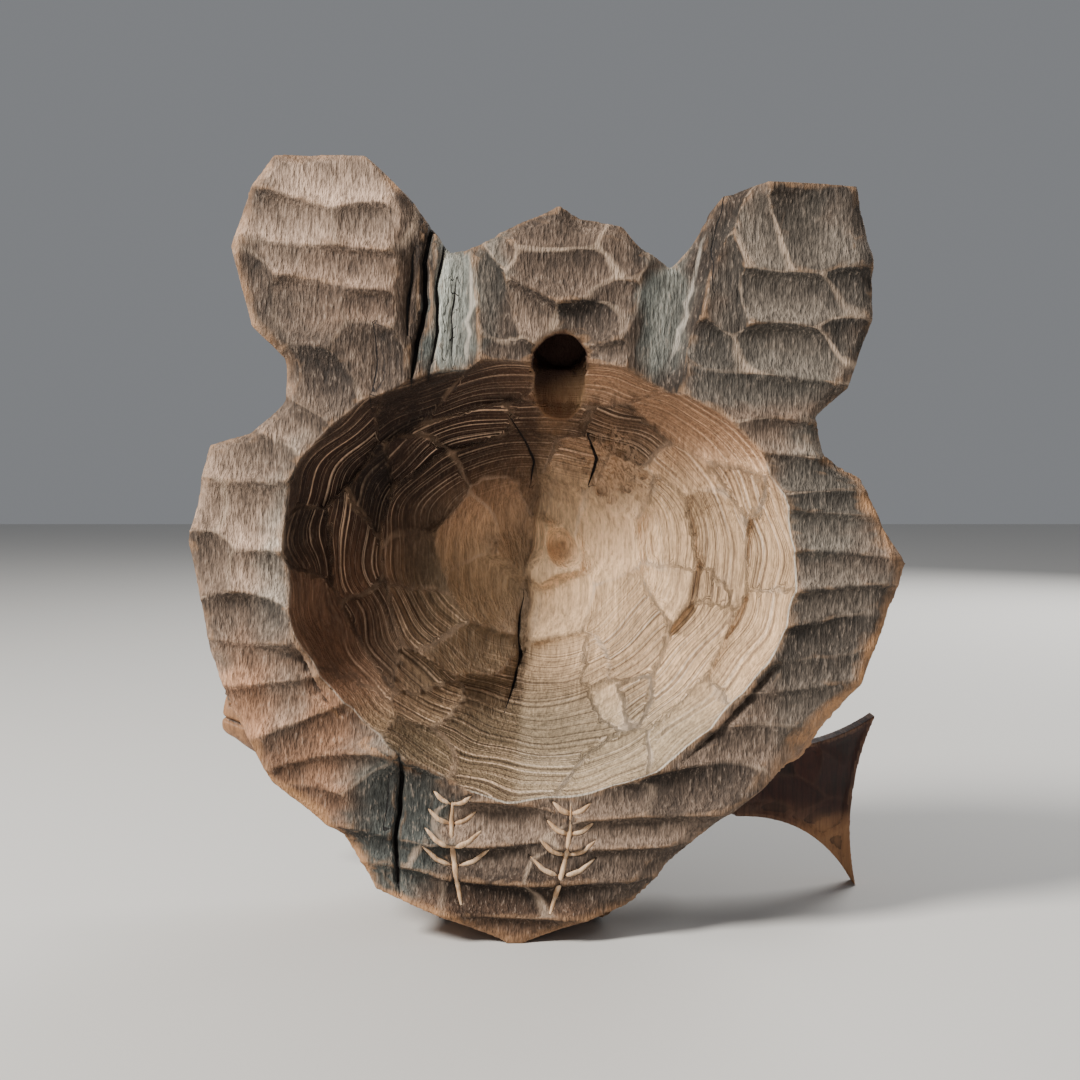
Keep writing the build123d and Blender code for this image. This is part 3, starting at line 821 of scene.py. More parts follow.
def rays(s, h, root, count, width, seed):
    """V cuts that fan out from a fin's root."""
    turn = np.arctan2(h - root[1], s - root[0]) / (2 * math.pi) * count + 0.1 * waves(seed, 14, s, h)
    return np.maximum(1 - np.abs(turn - np.floor(turn) - 0.5) * width, 0)


# Lines drawn on its head: each path, its width and its depth.
HEAD_LINES = [
    (arc(69, 0, 13.5, 100, 262, 1.15), 1.3, 1.5),
    (arc(72, -1, 8.5, 95, 250, 1.25), 0.9, 0.8),
    (arc(84, 4, 4.3, 0, 360), 0.7, 0.7),
    ([(106, -1.2), (97, -2.6), (90, -3.6), (85, -7)], 1.2, 1.7),
    ([(103, 3.2), (100, 3.4)], 0.8, 1.0),
    ([(88, -6.5), (78, -11), (68, -15)], 0.8, 0.7),
]
# Fins laid on its flanks: the middle, the radii and the root that their rays fan from.
FLANK_FINS = [((38, -10), (15, 5.5), (54, -6)), ((-14, -13), (11, 4), (-2, -10))]
# Cuts on the tail's back side, given as the mask's are.
TAIL_CUTS = [
    (-84, 6, 24, 16, 70, 0), (-92, 14, 30, 13, 60, 0.3), (-103, 20, 30, 13, 52, 0),
    (-92, -4, 34, 16, 20, 0.3), (-107, -2, 28, 17, 60, 0), (-98, -14, 34, 14, -30, 0.4),
    (-110, -20, 28, 12, -40, 0), (-86, -12, 22, 14, -20, 0), (-112, 12, 24, 12, 80, 0.2),
]


def carve_salmon():
    """The whole salmon as a block of cells, with what the painter needs to know about its skin."""
    wood = Block(*SALMON_BLOCK, SALMON_CELL)
    wood.cast("salmon", salmon_place, band=8)
    s, y, h = wood.window(wood.low, [l + n * SALMON_CELL for l, n in zip(wood.low, wood.counts)])[1]
    soft = 0.7 * smooth_step(-84, -66, s)
    wood.depth = wood.depth * (1 - soft) + blurred(wood.depth, 1.2, SALMON_CELL) * soft
    flat_s, flat_h = s[:, 0, :], h[:, 0, :]
    cut = SCALE_BED * scaly(flat_s, flat_h)
    for path, wide, deep in HEAD_LINES:
        cut = cut + drawn(flat_s, flat_h, path, wide, deep)
    cheek = smooth_step(58, 62, flat_s) * (1 - smooth_step(76, 80, flat_s))
    cheek = cheek * (1 - smooth_step(9, 13, np.abs(flat_h)))
    cut = cut + 0.35 * cheek * np.clip(waves(31, 5, flat_s * 0.3, flat_h), 0, 1)
    for centre, radii, root in FLANK_FINS:
        gap = egg(flat_s, 0, flat_h, (centre[0], 0, centre[1]), (radii[0], 9, radii[1]))
        cut = cut + np.where(gap < 0, 0.55 * rays(flat_s, flat_h, root, 60, 2.4, 32) ** 2, 0)
        cut = cut + 0.9 * np.clip(1 - np.abs(gap - 0.4) / 0.8, 0, 1)
    fin_ray = rays(flat_s, flat_h, (-44, 0), 64, 2.6, 33)
    past_body = smooth_step(1.0, 3.0, np.abs(flat_h) - body_half_height(flat_s))
    cut = cut + 0.8 * fin_ray * past_body * (flat_s > -72)
    front_tail = 1.1 * rays(flat_s, flat_h, (-62, 0), 46, 2.2, 34) ** 1.4 * smooth_step(-80, -90, flat_s)
    best, lead, which, _ = cut_sheet(TAIL_CUTS, flat_s, flat_h, 35)
    back_tail = np.clip(0.6 * best + 0.9, 0, 1.6) * smooth_step(-76, -84, flat_s)
    guard = smooth_step(0.4, 3.4, -wood.depth[:, int(-wood.low[1] / SALMON_CELL), :])
    front_tail, back_tail = front_tail * guard, back_tail * guard
    share = smooth_step(-1, 1, y)
    wood.depth += cut[:, None, :] + front_tail[:, None, :] * (1 - share) + back_tail[:, None, :] * share
    raw = smooth_step(4, -3, flat_h + 0.32 * (flat_s + 100) + 12 + 1.5 * waves(36, 9, flat_s, flat_h))
    snout = 0.75 * smooth_step(88, 97, flat_s + 3 * waves(37, 9, flat_s, flat_h))
    raw = np.maximum(raw * smooth_step(-84, -90, flat_s), snout)
    ridge = np.exp(-np.maximum(lead, 0) / 0.2) * smooth_step(-76, -84, flat_s)
    tone = hashed(which + 3.0, 2.0)
    return wood, raw, ridge, tone


salmon_wood, salmon_raw, salmon_ridge, salmon_tone = carve_salmon()
salmon = as_mesh("carved_salmon", salmon_wood, salmon_place, SALMON_TRIANGLES)
points, _ = corners(salmon, salmon_place)
raw_side = np.where(points[:, 0] > 0, smooth_step(-1, 2, points[:, 1]), 1)
mark(
    salmon,
    edge=creases(salmon_wood, points, 1.0),
    raw=sheet_value(salmon_raw, salmon_wood, points) * raw_side,
    ridge=sheet_value(salmon_ridge, salmon_wood, points) * smooth_step(-1, 1, points[:, 1]),
    tone=sheet_value(salmon_tone, salmon_wood, points),
    along=points[:, 0],
    high=points[:, 2],
)


# ---------- paints ----------

class Paint:
    """A material and the nodes that colour it."""

    def __init__(self, name):
        self.material = bpy.data.materials.new(name)
        self.material.use_nodes = True
        self.tree = self.material.node_tree
        self.shader = self.tree.nodes["Principled BSDF"]

    def node(self, kind, inputs=(), **settings):
        return new_node(self.tree, kind, inputs, **settings)

    def attribute(self, name):
        """A number marked on the mesh's corners."""
        return self.node("ShaderNodeAttribute", attribute_name=name).outputs["Fac"]

    def sums(self, operation, *values):
        """One step of arithmetic."""
        return self.node("ShaderNodeMath", values, operation=operation).outputs[0]

    def fade(self, value, low, high, start=0.0, end=1.0):
        """start where a value is low and end where it is high, easing between them."""
        values = {"Value": value, "From Min": low, "From Max": high, "To Min": start, "To Max": end}
        return self.node("ShaderNodeMapRange", values, interpolation_type="SMOOTHSTEP").outputs["Result"]

    def mix(self, share, first, second, way="MIX"):
        """The first colour, with a share of the second laid over it."""
        mixer = self.node("ShaderNodeMix", data_type="RGBA", blend_type=way)
        for number, value in ((0, share), (6, first), (7, second)):
            give(self.tree, mixer.inputs[number], value)
        return mixer.outputs[2]

    def shaded(self, color, shade):
        """A colour made darker or lighter all through."""
        return self.mix(1.0, color, shade, "MULTIPLY")

    def both(self, first, second):
        """Only where two masks agree."""
        return self.sums("MULTIPLY", first, second)

    def group(self, tree, **values):
        """The outputs of a shared effect, placed with its own values."""
        node = self.node("ShaderNodeGroup", node_tree=tree)
        for name, value in values.items():
            give(self.tree, node.inputs[name.replace("_", " ")], value)
        return node.outputs

    def finish(self, color, rough, height, bump=1.0, depth=0.0002):
        """Wires up the shader and hands over the material."""
        give(self.tree, self.shader.inputs["Base Color"], color)
        give(self.tree, self.shader.inputs["Roughness"], rough)
        relief = self.node("ShaderNodeBump", {"Height": height, "Strength": bump, "Distance": depth})
        self.tree.links.new(relief.outputs["Normal"], self.shader.inputs["Normal"])
        return self.material


def give(tree, socket, value):
    """Sets a socket, or links something into it."""
    if isinstance(value, bpy.types.NodeSocket):
        tree.links.new(value, socket)
    elif isinstance(value, (tuple, list)) and len(value) == 3 and socket.type == "RGBA":
        socket.default_value = (*value, 1)
    else:
        socket.default_value = value


def new_node(tree, kind, inputs=(), **settings):
    """A node with its settings, and its inputs by number or by name."""
    node = tree.nodes.new(kind)
    for name, value in settings.items():
        setattr(node, name, value)
    pairs = inputs.items() if isinstance(inputs, dict) else enumerate(inputs)
    for key, value in pairs:
        give(tree, node.inputs[key], value)
    return node


def wood_grain_group():
    """Growth rings round an upright pith, long fibres and short flecks, all measured on the object."""
    tree = bpy.data.node_groups.new("wood_grain", "ShaderNodeTree")
    for name, kind in (("Pith", "NodeSocketVector"), ("Ring Width", "NodeSocketFloat")):
        tree.interface.new_socket(name=name, in_out="INPUT", socket_type=kind)
    for name in ("Rings", "Fibre", "Fleck", "Cloud", "Height"):
        tree.interface.new_socket(name=name, in_out="OUTPUT", socket_type="NodeSocketFloat")
    inside, outside = tree.nodes.new("NodeGroupInput"), tree.nodes.new("NodeGroupOutput")
    place = new_node(tree, "ShaderNodeTexCoord").outputs["Object"]

    def vectors(operation, *values):
        return new_node(tree, "ShaderNodeVectorMath", values, operation=operation).outputs

    def noise(scale, detail, squeeze, rough=0.55):
        vector = vectors("MULTIPLY", place, squeeze)[0]
        values = {"Vector": vector, "Scale": scale, "Detail": detail, "Roughness": rough}
        return new_node(tree, "ShaderNodeTexNoise", values).outputs["Fac"]

    def math_node(operation, *values):
        return new_node(tree, "ShaderNodeMath", values, operation=operation).outputs[0]

    sway = noise(9.0, 2.0, (1, 1, 0.5))
    from_pith = vectors("SUBTRACT", place, inside.outputs["Pith"])[0]
    reach = vectors("LENGTH", vectors("MULTIPLY", from_pith, (1, 1, 0.05))[0])["Value"]
    reach = math_node("MULTIPLY_ADD", sway, 0.03, reach)
    turn = math_node("DIVIDE", reach, inside.outputs["Ring Width"])
    rings = math_node("PINGPONG", turn, 0.5)
    rings = math_node("POWER", math_node("MULTIPLY", rings, 2.0), 2.0)
    fibre = noise(900.0, 4.0, (1, 1, 0.045), 0.65)
    fleck = noise(1250.0, 2.5, (1, 1, 0.26), 0.62)
    cloud = noise(32.0, 5.0, (1, 1, 0.6), 0.6)
    height = math_node("MULTIPLY_ADD", fleck, 1.3, math_node("MULTIPLY", fibre, 0.7))
    height = math_node("MULTIPLY_ADD", rings, 0.3, height)
    outs = {"Rings": rings, "Fibre": fibre, "Fleck": fleck, "Cloud": cloud, "Height": height}
    for name, value in outs.items():
        tree.links.new(value, outside.inputs[name])
    return tree


wood_grain = wood_grain_group()


def outside_stain(paint, grain):
    """The rim's stain in its grey, dark, warm and bluish patches, the pale ones partly painted light and the
    dark ones partly painted shade, and the face's deeper brown.
    """
    pale, dark = paint.attribute("pale"), paint.attribute("dark")
    color = paint.mix(pale, (0.158, 0.110, 0.080), (0.42, 0.290, 0.210))
    color = paint.mix(dark, color, (0.050, 0.034, 0.025))
    color = paint.mix(paint.both(paint.attribute("warm"), 0.8), color, (0.34, 0.165, 0.085))
    color = paint.mix(paint.both(dark, 0.5), color, (0.060, 0.036, 0.022))
    blue = paint.mix(pale, (0.135, 0.150, 0.135), (0.50, 0.53, 0.47))
    blue = paint.mix(paint.both(dark, 0.75), blue, (0.040, 0.056, 0.056))
    color = paint.mix(paint.attribute("blue"), color, blue)
    # Painted shade and light: each cut darker at its upper side, where the tool went in, and lighter at its
    # lower side.
    color = paint.shaded(color, paint.fade(paint.attribute("across"), -0.8, 0.75, 1.38, 0.46))
    face = paint.mix(paint.fade(grain["Cloud"], 0.35, 0.7), (0.050, 0.026, 0.015), (0.125, 0.066, 0.036))
    face = paint.mix(paint.attribute("bare"), face, (0.017, 0.010, 0.008))
    return paint.mix(paint.attribute("back"), face, color)


def hollow_stain(paint, grain, line):
    """Inside the hollow: tan on the lit side of the fold and brown on the shaded side, painted light and
    shade over a darker stain there, with a painted shadow under the upper rim, and scored lines that carry
    painted shade and painted highlights.
    """
    light_side, deep = paint.attribute("light_side"), paint.attribute("chatter")
    # Painted light and shade: tan on the lit wall, dark brown on the shaded wall, which is also stained
    # darker; the olive patches follow the same painted light.
    color = paint.mix(light_side, (0.200, 0.098, 0.054), (0.80, 0.525, 0.305))
    olive = paint.mix(light_side, (0.195, 0.140, 0.074), (0.38, 0.305, 0.20))
    color = paint.mix(paint.attribute("olive"), color, olive)
    # Painted shadow under the upper rim.
    color = paint.mix(paint.attribute("soot"), color, (0.022, 0.010, 0.007))
    # Painted shade along the low side of each scored step.
    step_shade_line = paint.both(paint.fade(line, 0.50, 0.40, 0.0, 0.7), deep)
    color = paint.mix(step_shade_line, color, (0.045, 0.022, 0.014))
    # Painted highlights along the raised edges of the scored steps.
    highlight_line = paint.fade(line, 0.545, 0.62, 0.0, 0.85)
    highlight_line = paint.both(paint.both(highlight_line, paint.fade(grain["Cloud"], 0.36, 0.54)), deep)
    pale = paint.mix(light_side, (0.92, 0.62, 0.41), (0.80, 0.63, 0.48))
    return paint.mix(highlight_line, color, pale)


def uneven(paint, grain, color):
    """Each cut a little lighter or darker than the next, with rings, fibres, clouds and flecks."""
    tone, hollow = paint.attribute("tone"), paint.attribute("hollow")
    dark_side, light_side = paint.fade(tone, 0, 1, 0.62, 1.5), paint.fade(tone, 0, 1, 0.84, 1.14)
    hollow_tone = paint.mix(paint.attribute("light_side"), dark_side, light_side)
    color = paint.shaded(color, paint.mix(hollow, paint.fade(tone, 0, 1, 0.56, 1.42), hollow_tone))
    color = paint.shaded(color, paint.fade(grain["Rings"], 0.0, 1.0, 0.88, 1.04))
    color = paint.shaded(color, paint.fade(grain["Fibre"], 0.3, 0.7, 0.76, 1.2))
    color = paint.shaded(color, paint.fade(grain["Cloud"], 0.3, 0.72, 0.72, 1.26))
    peppered = paint.shaded(color, paint.fade(grain["Fleck"], 0.34, 0.6, 0.62, 1.22))
    color = paint.mix(paint.fade(hollow, 0, 1, 1.0, 0.5), color, peppered)
    flecks = paint.both(paint.fade(grain["Fleck"], 0.57, 0.7), paint.attribute("back"))
    flecks = paint.both(flecks, paint.fade(hollow, 0, 1, 0.3, 0.12))
    return paint.mix(flecks, color, (0.44, 0.34, 0.265))


def worn_places(paint, grain, color):
    """Where the stain is rubbed, split or torn away, with painted shade in the creases and in the hanging
    hole.
    """
    edge, hollow, back = paint.attribute("edge"), paint.attribute("hollow"), paint.attribute("back")
    worn = paint.both(paint.fade(edge, 0.56, 0.72), paint.fade(grain["Fibre"], 0.35, 0.6, 0.35, 1))
    worn = paint.both(worn, paint.fade(hollow, 0, 1, 0.55, 0.2))
    color = paint.mix(worn, color, (0.40, 0.235, 0.13))
    ridge = paint.sums("DIVIDE", paint.attribute("lead"), paint.fade(hollow, 0, 1, 0.5, 0.24))
    ridge = paint.both(paint.fade(ridge, 1.0, 0.12), back)
    ridge = paint.both(ridge, paint.fade(grain["Cloud"], 0.38, 0.62, 0.05, 0.75))
    # Ridges paler on the lit wall: painted light.
    ridge_tint = paint.mix(paint.attribute("light_side"), (0.44, 0.28, 0.175), (0.66, 0.52, 0.40))
    color = paint.mix(ridge, color, paint.mix(hollow, (0.50, 0.37, 0.27), ridge_tint))
    lip = paint.fade(paint.sums("ABSOLUTE", paint.attribute("lip")), 0.9, 0.2)
    lip = paint.both(lip, paint.both(paint.attribute("lip_light"), back))
    bright = paint.fade(paint.sums("ABSOLUTE", paint.attribute("light_ridge")), 2.2, 0.2, 0.0, 0.5)
    bright = paint.both(bright, paint.fade(grain["Cloud"], 0.3, 0.55, 0.3, 1.0))
    bright = paint.both(bright, paint.both(back, paint.attribute("ridge_near")))
    color = paint.mix(paint.sums("MAXIMUM", lip, bright), color, (0.66, 0.58, 0.49))
    raw = paint.both(paint.attribute("raw"), paint.fade(grain["Fibre"], 0.3, 0.6, 0.4, 1))
    color = paint.mix(raw, color, (0.50, 0.26, 0.12))
    torn = paint.both(paint.attribute("torn"), paint.fade(grain["Fleck"], 0.42, 0.6))
    color = paint.mix(paint.both(torn, 0.8), color, (0.66, 0.42, 0.26))
    # Painted shade: creases darkened almost to black.
    crease_shade = paint.both(paint.fade(edge, 0.44, 0.26), paint.fade(hollow, 0, 1, 0.75, 0.3))
    color = paint.mix(crease_shade, color, (0.016, 0.009, 0.006))
    fresh = paint.mix(paint.fade(grain["Cloud"], 0.4, 0.62), (0.24, 0.105, 0.05), (0.60, 0.36, 0.19))
    color = paint.mix(paint.attribute("bore"), color, fresh)
    # Painted shade inside the hanging hole.
    return paint.mix(paint.attribute("bore_dark"), color, (0.030, 0.012, 0.007))


def drying_checks(paint, grain):
    """1 along the cracks, frayed a little by the flecks."""
    gaps = [paint.sums("ABSOLUTE", paint.attribute("crack_" + letter)) for letter in "abc"]
    nearest = paint.sums("MINIMUM", paint.sums("MINIMUM", gaps[0], gaps[1]), gaps[2])
    nearest = paint.sums("MULTIPLY_ADD", grain["Fleck"], 0.5, nearest)
    crack = paint.both(paint.fade(nearest, 1.35, 0.95), paint.fade(paint.attribute("back"), 0.6, 0.8))
    return paint.both(crack, paint.attribute("crack_near"))


def head_paint():
    """Dark-stained wood: grey and bluish on the back, raw where it is worn, deeper brown on the face."""
    paint = Paint("stained_wood")
    grain = paint.group(wood_grain, Pith=(0.01, -0.16, 0), Ring_Width=0.0034)
    hollow = paint.attribute("hollow")
    scores = {"W": paint.attribute("contour"), "Scale": 1.25, "Detail": 4.0, "Roughness": 0.7}
    line = paint.node("ShaderNodeTexNoise", scores, noise_dimensions="1D").outputs["Fac"]
    color = paint.mix(hollow, outside_stain(paint, grain), hollow_stain(paint, grain, line))
    color = worn_places(paint, grain, uneven(paint, grain, color))
    crack = drying_checks(paint, grain)
    color = paint.mix(crack, color, (0.008, 0.006, 0.006))
    scored = paint.both(paint.both(line, hollow), paint.attribute("chatter"))
    height = paint.sums("MULTIPLY_ADD", scored, 2.4, grain["Height"])
    height = paint.sums("MULTIPLY_ADD", crack, -1.5, height)
    rough = paint.fade(grain["Cloud"], 0.2, 0.8, 0.62, 0.88)
    paint.shader.inputs["Specular IOR Level"].default_value = 0.32
    return paint.finish(color, rough, height, 1.0, 0.0007)


def blobs(points, spots):
    """Soft patches on the back: each is x, z, two radii and how strong it is."""
    x, z = points[:, 0], points[:, 2]
    total = np.zeros(len(points), np.float32)
    ragged = 0.22 * waves(51, 13, x, z) + 0.12 * waves(52, 5, x, z)
    for spot_x, spot_z, wide, tall, strength in spots:
        reach = np.hypot((x - spot_x) / wide, (z - spot_z) / tall) + ragged
        total = np.maximum(total, strength * (1 - smooth_step(0.55, 1.2, reach)))
    return total


def nose_and_lips(points):
    """1 on the smooth dark nose, the lips, the ear cups and the inside of the jaws."""
    x, y, z = points.T
    bare = 1 - smooth_step(0.5, 2.5, egg(x, y, z, NOSE, (15, 10, 10.5)))
    in_jaws = 1 - smooth_step(2, 7, np.abs(z - MOUTH_Z) - 18)
    bare = np.maximum(bare, 0.55 * in_jaws * smooth_step(-50, -58, y))
    for side in (1, -1):
        cup = 1 - smooth_step(-3, 3, egg(x, y, z, (side * 68, -40, 205), (17, 17, 20)))
        bare = np.maximum(bare, 0.75 * cup)
    return bare * (y < -15)


def in_the_bore(points):
    """1 inside the hanging hole and its notch, where the wood was never stained, and with it the painted
    shade over the hole: darker towards its top and left, and deep inside.
    """
    x, y, z = points.T
    hole = 1 - smooth_step(8.5, 9.3, line_gap(x, y, z, HANGING_MOUTH, HANGING_WAY))
    notch = 1 - smooth_step(0.2, 0.7, egg(x, y, z, *NOTCH))
    inside = np.maximum(hole * (y > -34), notch) * (y < -0.8)
    above = y * math.sin(HANGING_RISE) + (z - HANGING_MOUTH[2]) * math.cos(HANGING_RISE)
    # Painted shade: darker towards the top of the hole and its left side, and deep inside it.
    shade = smooth_step(161, 175, z + 0.5 * (x - NOTCH[0][0]))
    shade = np.maximum(shade, smooth_step(-16, -26, y) * (above > -8))
    return inside, inside * shade


# Soft patches of colour on the back: x, z, two radii and how strong each is. The pale ones are partly painted
# light and the dark ones partly painted shade.
PATCHES = {
    # Paler stain, and painted light on the lit sides of the crown's channels.
    "pale": [
        (62, 208, 34, 34, 0.8), (90, 118, 24, 52, 0.6), (30, 186, 8, 28, 0.8), (-34, 193, 9, 24, 1.0),
        (-84, 222, 12, 12, 0.5), (62, 62, 26, 20, 0.3),
    ],
    # Darker stain, and painted shade on the ears, on the shaded walls of the crown's channels and at the
    # chin.
    "dark": [
        (58, 178, 28, 20, 0.5), (-60, 200, 40, 40, 0.2), (41, 200, 7, 36, 0.9), (-80, 90, 28, 60, 0.08),
        (-2, 204, 20, 16, 0.5), (38, 28, 18, 22, 0.75), (2, 8, 44, 18, 1.0), (-27, 200, 5, 26, 0.7),
        (-60, 172, 36, 16, 0.4),
    ],
    "blue": [
        (30, 188, 9, 30, 0.9), (38, 34, 17, 28, 0.75), (-33, 193, 9, 24, 0.75), (-62, 178, 32, 14, 0.35),
        (72, 100, 12, 44, 0.3), (-84, 140, 18, 24, 0.4), (20, 200, 6, 20, 0.4),
        (-72, 202, 30, 34, 0.3), (-88, 96, 22, 40, 0.25),
    ],
    "lip_light": [
        (-66, 70, 50, 50, 0.9), (-84, 112, 30, 44, 0.9), (-30, 46, 50, 18, 0.8), (70, 60, 30, 30, 0.35),
    ],
}
WARM = [(72, 66, 26, 28, 0.95), (60, 38, 14, 14, 0.7), (8, 4, 46, 14, 0.35), (60, 196, 20, 14, 0.2)]
RAW_EDGES = [(-92, 95, 20, 60, 0.9), (50, 30, 46, 40, 0.9), (5, 5, 50, 16, 0.3), (80, 200, 24, 40, 0.3)]
CHIPS = [(49, 230, 4, 6, 1.0), (-3, 158, 5, 5, 0.25), (-20, 146, 6, 9, 0.35), (-7, 117, 4, 5, 0.5)]

points, _ = corners(head, mask_place)
px, pz = points[:, 0], points[:, 2]
on_back = np.abs(points[:, 1] + sheet_value(head_back.depth, head_wood, points)) < 3.0
bore, bore_dark = in_the_bore(points)
outline = sheet_value(head_back.edge, head_wood, points)
rim_raw = 1 - smooth_step(0.8, 3.2, outline + 1.2 * waves(53, 18, px, pz))
middle_line = px - Back.fold_line(pz)
# Painted light and shade in the hollow: 1 on the lit wall beyond the fold, 0 on the shaded wall, which is
# also stained darker.
fold_shade = 0.3 * smooth_step(62, 6, px) + 0.7 * (1 - smooth_step(-1.5, 2.5, middle_line))
low_olive = 0.8 * (1 - smooth_step(60, 84, pz + 0.1 * px))
side_olive = smooth_step(-4, 4, middle_line) * (1 - smooth_step(104, 138, pz))
side_olive = 0.55 * side_olive * (1 - smooth_step(30, 56, px))
mark(
    head,
    **{name: blobs(points, spots) for name, spots in PATCHES.items()},
    raw=np.maximum(rim_raw * blobs(points, RAW_EDGES), blobs(points, CHIPS) * smooth_step(0.5, 0.8, on_back)),
    bore=bore,
    # Painted shade inside the hanging hole.
    bore_dark=bore_dark,
    bare=nose_and_lips(points),
    warm=blobs(points, WARM) * on_back,
    # Painted light on the hollow's lit wall, fading into painted shade towards the top under the rim.
    light_side=fold_shade * (1 - 0.84 * smooth_step(126, 160, pz)),
    olive=np.maximum(low_olive, side_olive),
    # Painted shadow cast by the upper rim over the top of the hollow, strongest on its +x side.
    soot=0.94 * smooth_step(128, 162, pz + 0.5 * px) * smooth_step(-30, 30, px),
)
head.data.materials.append(head_paint())


def salmon_paint():
    """Darker, redder stain than the head's, paler along the belly, with a raw split edge on the tail."""
    paint = Paint("salmon_stain")
    grain = paint.group(wood_grain, Pith=(0.3, 0.02, 0.02), Ring_Width=0.004)
    edge, along, high = paint.attribute("edge"), paint.attribute("along"), paint.attribute("high")
    belly = paint.fade(high, -2.0, -13.0)
    color = paint.mix(belly, (0.025, 0.0065, 0.0040), (0.118, 0.056, 0.033))
    color = paint.mix(paint.fade(along, 52.0, 72.0, 0.0, 0.45), color, (0.075, 0.036, 0.022))
    color = paint.shaded(color, paint.fade(paint.attribute("tone"), 0, 1, 0.6, 1.75))
    color = paint.shaded(color, paint.fade(grain["Fibre"], 0.3, 0.7, 0.65, 1.3))
    color = paint.shaded(color, paint.fade(grain["Cloud"], 0.3, 0.72, 0.7, 1.3))
    worn = paint.both(paint.fade(edge, 0.58, 0.74), paint.fade(grain["Fibre"], 0.35, 0.6, 0.3, 1))
    color = paint.mix(paint.both(worn, 0.6), color, (0.27, 0.135, 0.07))
    ridge = paint.both(paint.attribute("ridge"), paint.fade(grain["Cloud"], 0.4, 0.65, 0.0, 0.5))
    color = paint.mix(ridge, color, (0.16, 0.085, 0.05))
    raw = paint.both(paint.attribute("raw"), paint.fade(grain["Fibre"], 0.28, 0.6, 0.45, 1))
    color = paint.mix(raw, color, (0.40, 0.20, 0.09))
    # Painted shade: creases darkened almost to black.
    crease_shade = paint.both(paint.fade(edge, 0.46, 0.30), 0.85)
    color = paint.mix(crease_shade, color, (0.010, 0.006, 0.004))
    rough = paint.fade(grain["Cloud"], 0.2, 0.8, 0.5, 0.78)
    return paint.finish(color, rough, grain["Height"], 0.7, 0.0003)


def plain_wood_paint(name, deep, pale, worn_color):
    """Whittled wood with its grain, for pieces that carry no marks of their own."""
    paint = Paint(name)
    grain = paint.group(wood_grain, Pith=(0.05, -0.3, 0), Ring_Width=0.0016)
    color = paint.mix(grain["Rings"], deep, pale)
    color = paint.mix(paint.fade(grain["Fleck"], 0.5, 0.72, 0.0, 0.5), color, worn_color)
    color = paint.shaded(color, paint.fade(grain["Fibre"], 0.3, 0.7, 0.75, 1.2))
    return paint.finish(color, paint.fade(grain["Cloud"], 0.2, 0.8, 0.42, 0.7), grain["Height"], 0.6, 0.0002)


def glass_paint():
    """Clear amber glass, a little wavy."""
    paint = Paint("amber_glass")
    place = paint.node("ShaderNodeTexCoord").outputs["Object"]
    ripple = paint.node("ShaderNodeTexNoise", {"Vector": place, "Scale": 240.0, "Detail": 1.0}).outputs["Fac"]
    streak = paint.node("ShaderNodeTexNoise", {"Vector": place, "Scale": 420.0, "Detail": 3.0}).outputs["Fac"]
    color = paint.mix(paint.fade(streak, 0.35, 0.7), (0.86, 0.50, 0.13), (0.98, 0.72, 0.30))
    paint.shader.inputs["Metallic"].default_value = 0.0
    paint.shader.inputs["Transmission Weight"].default_value = 1.0
    paint.shader.inputs["IOR"].default_value = 1.5
    return paint.finish(color, paint.fade(streak, 0.3, 0.8, 0.02, 0.09), ripple, 0.12, 0.0003)


def enamel_paint():
    """The painted disc behind each glass: a black pupil in a ring of amber brown."""
    paint = Paint("pupil_enamel_paint")
    place = paint.node("ShaderNodeTexCoord").outputs["Object"]
    speck = paint.node("ShaderNodeTexNoise", {"Vector": place, "Scale": 1900.0, "Detail": 2.0}).outputs["Fac"]
    gaps = []
    for node in ("left_eye_pupil", "right_eye_pupil"):
        away = paint.node("ShaderNodeVectorMath", (place, tuple(middle_of(node))), operation="DISTANCE")
        gaps.append(away.outputs["Value"])
    gap = paint.sums("MULTIPLY_ADD", speck, 0.0005, paint.sums("MINIMUM", *gaps))
    ring = paint.mix(paint.fade(speck, 0.35, 0.65), (0.42, 0.19, 0.035), (0.62, 0.33, 0.07))
    ring = paint.mix(paint.fade(gap, 0.0052, 0.0064), ring, (0.10, 0.04, 0.012))
    color = paint.mix(paint.fade(gap, 0.0034, 0.0039), (0.006, 0.005, 0.005), ring)
    return paint.finish(color, paint.fade(speck, 0.3, 0.7, 0.22, 0.34), speck, 0.2, 0.0001)


def brass_paint():
    """Domed brass tacks, dulled and browned."""
    paint = Paint("old_brass")
    place = paint.node("ShaderNodeTexCoord").outputs["Object"]
    cloud = paint.node("ShaderNodeTexNoise", {"Vector": place, "Scale": 700.0, "Detail": 4.0}).outputs["Fac"]
    color = paint.mix(paint.fade(cloud, 0.4, 0.68), (0.72, 0.48, 0.18), (0.20, 0.11, 0.045))
    paint.shader.inputs["Metallic"].default_value = 1.0
    return paint.finish(color, paint.fade(cloud, 0.3, 0.7, 0.26, 0.6), cloud, 0.25, 0.0001)


